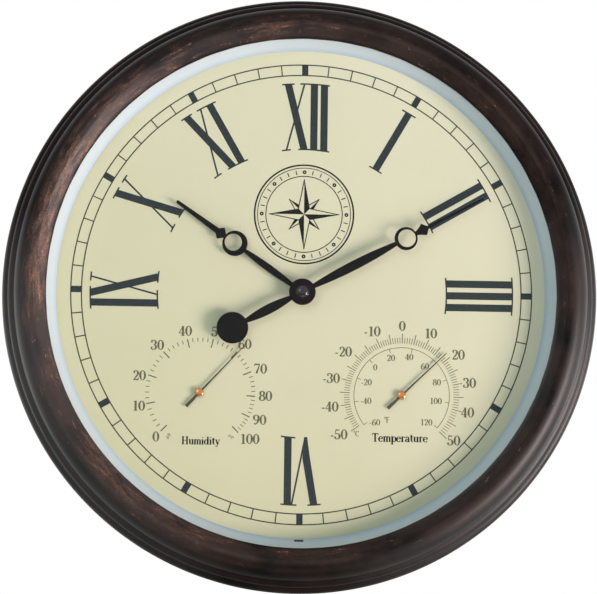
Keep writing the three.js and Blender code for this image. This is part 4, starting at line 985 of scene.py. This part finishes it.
def needleWidths(s):
    # half widths from the ring's neck up to the diamond's sharp corner, down to the needle, and to its tip
    neck = s["ringReach"] + s["ringRadius"] - handStyle["neckOverlap"]
    rise = np.linspace(0, 1, 7)
    flare = s["neck"] + (s["diamondHalf"] - s["neck"]) * rise ** s["flare"]
    before, share = np.array(handStyle["tip"]).T
    reach = np.concatenate([neck + (s["diamondReach"] - neck) * rise, [s["diamondEnd"]], s["reach"] - before])
    return reach, np.concatenate([flare, [s["needleRoot"]], s["needleTip"] * share])


def ringPatch(centreReach, radius, hole, shift, low, high, edge):
    # a flat ring whose hole is shifted outwards: the section between the two circles, carried round
    outer = arcPoints(0, centreReach, radius, radius)
    inner = arcPoints(0, centreReach + shift, hole, hole)
    inward = inner - outer
    gap = np.linalg.norm(inward, axis=1, keepdims=True)
    bevel = inward / gap * np.minimum(edge, gap / 2 * bevelShare)
    flat = np.stack([outer, outer, outer + bevel, inner - bevel, inner, inner], 1)
    height = [low, high - edge * bevelSlope, high, high, high - edge * bevelSlope, low]
    return gridPatch(raised(flat, height), closeRows=True, closeColumns=True)


def discPatch(reach, radius, low, high, edge, sides=64):
    # a disc with a softened edge, which rises a hair to its middle
    side = [[0, low], [radius, low], [radius, high - edge * bevelSlope], [radius - edge, high]]
    dome = [[radius * share, high + rise] for share, rise in handStyle["dome"]]
    return lathe(side + dome, sides, (0, reach))


def turned(patch, degrees):
    # turns a patch clockwise about the clock's axis, as seen from the front
    points, faces = patch
    c, s = math.cos(math.radians(degrees)), math.sin(math.radians(degrees))
    return points @ np.array([[c, 0, -s], [0, 1, 0], [s, 0, c]]), faces


def buildHand(name, s, node):
    # drawn upright from the hub, then turned to where it points at rest
    style, low, high = handStyle, s["back"], s["back"] + handStyle["thickness"]
    edge, leafEnd = style["edge"], s["ringReach"] - s["ringRadius"] + style["overlap"]
    ringTop = high - style["ringDrop"]

    def blade(reach, half):
        path = np.stack([np.zeros(len(reach)), reach], -1)
        return strokePatch(path, half, low, high, edge, style["crown"])

    root = [style["hubHalf"], s["leafRoot"]]
    patches = [
        blade(*leafWidths(style["leafStart"], leafEnd, s["leafRoot"], s["leafHalf"], s["leafEnd"])),
        blade([style["hubEdge"], style["leafStart"] + style["overlap"]], root),
        blade(*needleWidths(s)),
        ringPatch(s["ringReach"], s["ringRadius"], s["hole"], s["holeShift"], low, ringTop, edge),
        discPatch(0, style["hub"], low, high + style["hubRise"], edge),
    ]
    if "discReach" in s:
        tailEnd = s["discReach"] - s["discRadius"] + style["overlap"]
        tail, tailHalf = leafWidths(style["tailStart"], tailEnd, s["leafRoot"], s["tailHalf"], s["leafEnd"])
        patches += [
            blade(-tail, tailHalf),
            blade([-style["hubEdge"], -style["tailStart"] - style["overlap"]], root),
            discPatch(-s["discReach"], s["discRadius"], low, high, edge),
        ]
    patch = turned(joinPatches(patches), s["turn"])
    piece = makePiece(name, patch, node, "hand_black")
    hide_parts(node)


buildHand("hour_hand_plate", hourHand, "hour_hand")
buildHand("minute_hand_plate", minuteHand, "minute_hand")

capLook = {"dark": "120B0D", "light": "1D1316", "roughness": 0.4, "knobRoughness": 0.13}


def capFinish(s):
    # plum enamel, polished on the knob and dull on the brim
    f = Finish("cap_plum_enamel")
    cloud = f.noise(60.0, 3.0)
    return f.done(
        Base_Color=f.mix(cloud, linear(s["dark"]), linear(s["light"])),
        Roughness=(s["roughness"] + (cloud - 0.5) * 0.12).clamp(),
        Specular_IOR_Level=0.06,
        Coat_Weight=f.attribute("knob").clamp(),
        Coat_Roughness=s["knobRoughness"],
        Normal=f.bump(f.noise(900.0, 2.0), 0.00001, 0.5),
    )


capShape = {
    "back": 42.2, "radius": 13.5, "brim": 1.2, "rounding": 0.6, "underside": 12.7, "knob": 6.4,
    "height": 5.2, "hollow": [(12.15, 1.32), (9.72, 1.7), (6.9, 1.82)],
    "domeShare": 0.5, "domeSteps": 12, "sides": 72,
}


def buildCap(s):
    # a flat brim with a rounded edge that rises in a hollow curve to a domed knob
    back, middle, rounding = s["back"], s["back"] + s["brim"] / 2, s["rounding"]
    domeHeight = s["knob"] * s["domeShare"]
    dome = arcPoints(0, back + s["height"] - domeHeight, s["knob"], domeHeight, 2, 90, s["domeSteps"])
    dome[-1, 0] = 0.0
    profile = np.concatenate([
        [[0.0, back], [s["underside"], back]],
        arcPoints(s["radius"] - rounding, middle, rounding, s["brim"] / 2, -70, 70, 6),
        [[radius, back + height] for radius, height in s["hollow"]],
        dome,
    ])
    onKnob = np.arange(len(profile)) >= len(profile) - len(dome)
    patch, attributes = lathe(profile, s["sides"]), {"knob": np.tile(onKnob, s["sides"])}
    piece = makePiece("hands_cap", patch, "minute_hand", "hand_black", capFinish(capLook), 40, attributes)
    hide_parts("hand_cap")


buildCap(capShape)

pivotCap = {"back": 34.0, "radius": 4.4, "height": 2.2, "side": 0.6, "bevel": 0.2, "sides": 40}


def buildPivotCap(gauge, s):
    # a low rivet: a short straight side under a flattened dome
    profile = np.concatenate([
        [[0, s["back"]], [s["radius"] - s["bevel"], s["back"]], [s["radius"], s["back"] + s["side"] / 2]],
        arcPoints(0, s["back"] + s["side"], s["radius"], s["height"] - s["side"], 4, 90, 9),
    ])
    profile[-1, 0] = 0.0
    patch = lathe(profile, s["sides"], gaugeCentres[gauge])
    piece = makePiece(gauge + "_rivet", patch, gauge + "_pointer", "copper", sharpAngle=40)
    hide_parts(gauge + "_pointer_cap")


for gaugeName in gaugeCentres:
    buildPivotCap(gaugeName, pivotCap)
print("hands and caps shaped")


# Back: raised ribs on the moulded cover, grip ridges on the movement cover, and cross-headed screws.
# The ribs and ridges grow from a root just inside the cover towards the wall.

backShape = {
    "root": 5.05, "top": 4.1, "half": 0.8, "edge": 0.3, "rings": (80.0, 175.0, 270.0), "spokes": 12,
    "spokeReaches": (175.0, 222.5, 270.0), "spokeDrop": 0.02, "ringSteps": 120,
}
gripShape = {
    "root": 0.77, "top": 0.1, "half": 0.6, "edge": 0.25, "reach": 13.0, "pitch": 3.2, "ridges": 5,
    "centre": -38.0,
}
screwShape = {
    "radius": 4.0, "head": 2.2, "dome": 0.7, "shank": 1.5, "point": 0.3, "armReach": 2.2, "armHalf": 0.42,
    "depth": 1.1, "armRings": (0.02, 0.3, 0.42, 0.7, 1.1, 1.6, 2.15, 2.25, 2.8), "bevelRadius": 3.4,
    "bevel": 0.15, "bevelFoot": 0.4, "tip": 0.02, "turnPerPlace": 0.37, "sides": 48,
}


def buildCoverRibs(s):
    # rings round the axis, and spokes between the outer two
    patches = []
    for radius in s["rings"]:
        path = arcPoints(0, 0, radius, radius, 90, -270, s["ringSteps"])
        patches.append(strokePatch(path, s["half"], s["root"], s["top"], s["edge"], closed=True))
    for i in range(s["spokes"]):
        path = np.outer(s["spokeReaches"], direction(360 / s["spokes"] * (i + 0.5)))
        patches.append(strokePatch(path, s["half"], s["root"], s["top"] + s["spokeDrop"], s["edge"]))
    makePiece("cover_ribs", joinPatches(patches), "case", "cover_plastic")


def buildGripRidges(s):
    # straight bars, one pitch apart, about a middle height
    patches = []
    for i in range(s["ridges"]):
        z = s["centre"] - (i - (s["ridges"] - 1) / 2) * s["pitch"]
        path = [[-s["reach"], z], [0, z], [s["reach"], z]]
        patches.append(strokePatch(path, s["half"], s["root"], s["top"], s["edge"]))
    makePiece("grip_ridges", joinPatches(patches), "movement_cover", "cover_plastic")


def buildScrew(node, s):
    # a domed head with a cross sunk into it, on a plain shank; the head looks at the wall
    low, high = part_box(node)
    centre, top, sides = (low + high) / 2 / mm, (wallY - high.y) / mm, s["sides"]
    turn = centre.x * s["turnPerPlace"]  # each screw stops at its own angle
    angle = wholeTurn(sides)
    head = [s["bevelRadius"], s["radius"] - s["bevel"], s["radius"], s["radius"]]
    radius = np.array([*s["armRings"], *head, s["shank"], s["shank"], s["tip"]])
    height = top + s["dome"] * (radius / s["radius"]) ** 2
    height[-5:-2] = top + s["head"] * np.array([s["bevelFoot"], 1, 1])
    height[-2:] = (wallY - low.y) / mm - s["point"]
    x, z = np.outer(np.cos(angle), radius), np.outer(np.sin(angle), radius)
    u = np.abs(x * math.cos(turn) + z * math.sin(turn))
    v = np.abs(z * math.cos(turn) - x * math.sin(turn))
    arms = (np.minimum(u, v) < s["armHalf"]) & (np.maximum(u, v) < s["armReach"])
    sunk = arms & (np.arange(len(radius)) < len(s["armRings"]))
    flat = np.stack([centre.x + x, centre.z + z], -1)
    points, faces = gridPatch(raised(flat, height + np.where(sunk, s["depth"], 0)), closeRows=True)
    rim = np.arange(sides) * len(radius)
    faces += [rim.tolist(), (rim + len(radius) - 1).tolist()]
    piece = makePiece(node + "_cross_head", (points, faces), "case", "steel", sharpAngle=25)
    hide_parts(node)


buildCoverRibs(backShape)
buildGripRidges(gripShape)
for nodeName in frame["nodes"]:
    if "_screw_" in nodeName:
        buildScrew(nodeName, screwShape)
print("back dressed")


# Stage: pale floor, white surroundings, a soft key from the right and a little below, and two faint lamps.
# Its sizes are in metres.

stage = {
    "floorHeight": -2.3, "floorHalf": 7.0, "shadowFrom": 2.4, "whiteFrom": 3.2,
    "ambient": 0.405, "shade": (0.86, 1.0, 1.0, 1.0),
}


def buildStage(s):
    half, height = s["floorHalf"], s["floorHeight"]
    corners = [(-half, -half, height), (half, -half, height), (half, half, height), (-half, half, height)]
    mesh = bpy.data.meshes.new("floor")
    mesh.from_pydata(corners, [], [(0, 1, 2, 3)])
    f = Finish("floor_pale")
    near = f.add("ShaderNodeVectorMath", {"operation": "LENGTH"}, {0: f.place}, "Value")
    seen = f.add("ShaderNodeLightPath", output="Is Camera Ray")
    f.done(Base_Color=f.mix(f.noise(3.0, 2.0), linear("E9E8E5"), linear("EFEEEC")), Roughness=0.7)
    far = near.ramp(s["shadowFrom"], s["whiteFrom"]) * seen
    surfaces = {0: far, 1: Value(f.tree, f.shader.outputs[0]), 2: f.add("ShaderNodeEmission")}
    blend = f.add("ShaderNodeMixShader", None, surfaces)
    f.fill(f.tree.nodes["Material Output"], {"Surface": blend})
    mesh.materials.append(f.material)
    floor = bpy.data.objects.new("floor", mesh)
    bpy.context.scene.collection.objects.link(floor)

    world = bpy.data.worlds.new("surroundings")
    bpy.context.scene.world = world
    world.use_nodes = True
    tree = world.node_tree
    background = tree.nodes["Background"]
    path = tree.nodes.new("ShaderNodeLightPath")
    rays = [Value(tree, path.outputs[n]) for n in ("Is Camera Ray", "Is Glossy Ray", "Is Transmission Ray")]
    direct = (rays[0] + rays[1] + rays[2]).clamp()
    strength = direct * (1 - s["ambient"]) + s["ambient"]
    tree.links.new(strength.socket, background.inputs["Strength"])
    tone = tree.nodes.new("ShaderNodeMix")
    tone.data_type = "RGBA"
    tree.links.new(direct.socket, tone.inputs[0])
    tone.inputs[6].default_value = s["shade"]
    tone.inputs[7].default_value = (1, 1, 1, 1)
    tree.links.new(tone.outputs[2], background.inputs["Color"])


lamps = {
    "key": {"place": (2.715, -1.81, -1.15), "size": 1.6, "power": 101.0, "tint": (1.14, 1.0, 0.98)},
    "sky": {"place": (-1.3, -2.5, 0.9), "size": 1.4, "power": 10.5, "tint": (0.82, 1.0, 1.12)},
    "fill": {"place": (0.1, -1.4, -1.8), "size": 1.2, "power": 3.5, "tint": (1.0, 1.0, 1.0)},
}


def setUp(data, right, up, away, place):
    # an object that stands at a place and looks the opposite way to away
    holder = bpy.data.objects.new(data.name, data)
    rows = [[column[i] for column in (right, up, away, place)] for i in range(3)]
    holder.matrix_world = Matrix(rows + [[0, 0, 0, 1]])
    bpy.context.scene.collection.objects.link(holder)
    return holder


def buildLamp(name, s):
    # a round soft lamp that looks at the clock's middle
    lamp = bpy.data.lights.new(name, "AREA")
    lamp.shape, lamp.size, lamp.energy, lamp.color = "DISK", s["size"], s["power"], s["tint"]
    place = np.array(s["place"])
    away = place / np.linalg.norm(place)
    side = np.cross([0, 0, 1], away)
    side /= np.linalg.norm(side)
    setUp(lamp, side, np.cross(away, side), away, place)


# Camera, a little left of the clock's axis and below it, worked out from the circles in the photograph
view = {
    "azimuth": -2.562, "elevation": -4.768, "distance": 2.0244, "roll": 0.748,
    "lens": 120.10, "sensor": 36.0, "imageWidth": 597, "shiftRight": 3.4, "shiftUp": 4.4,
}


def buildCamera(s):
    a, e, r = (math.radians(s[k]) for k in ("azimuth", "elevation", "roll"))
    away = np.array([math.sin(a) * math.cos(e), -math.cos(a) * math.cos(e), math.sin(e)])
    right = np.cross(-away, [0, 0, 1])
    right /= np.linalg.norm(right)
    up = np.cross(right, -away)
    rolledRight = math.cos(r) * right + math.sin(r) * up
    rolledUp = math.cos(r) * up - math.sin(r) * right
    camera = bpy.data.cameras.new("photo_view")
    camera.lens, camera.sensor_width, camera.sensor_fit = s["lens"], s["sensor"], "HORIZONTAL"
    camera.shift_x = -s["shiftRight"] / s["imageWidth"]
    camera.shift_y = -s["shiftUp"] / s["imageWidth"]
    bpy.context.scene.camera = setUp(camera, rolledRight, rolledUp, away, away * s["distance"])


buildStage(stage)
for lampName, lampShape in lamps.items():
    buildLamp(lampName, lampShape)
buildCamera(view)
bpy.context.scene.view_settings.view_transform = "Standard"
print("stage, lamps and camera set")
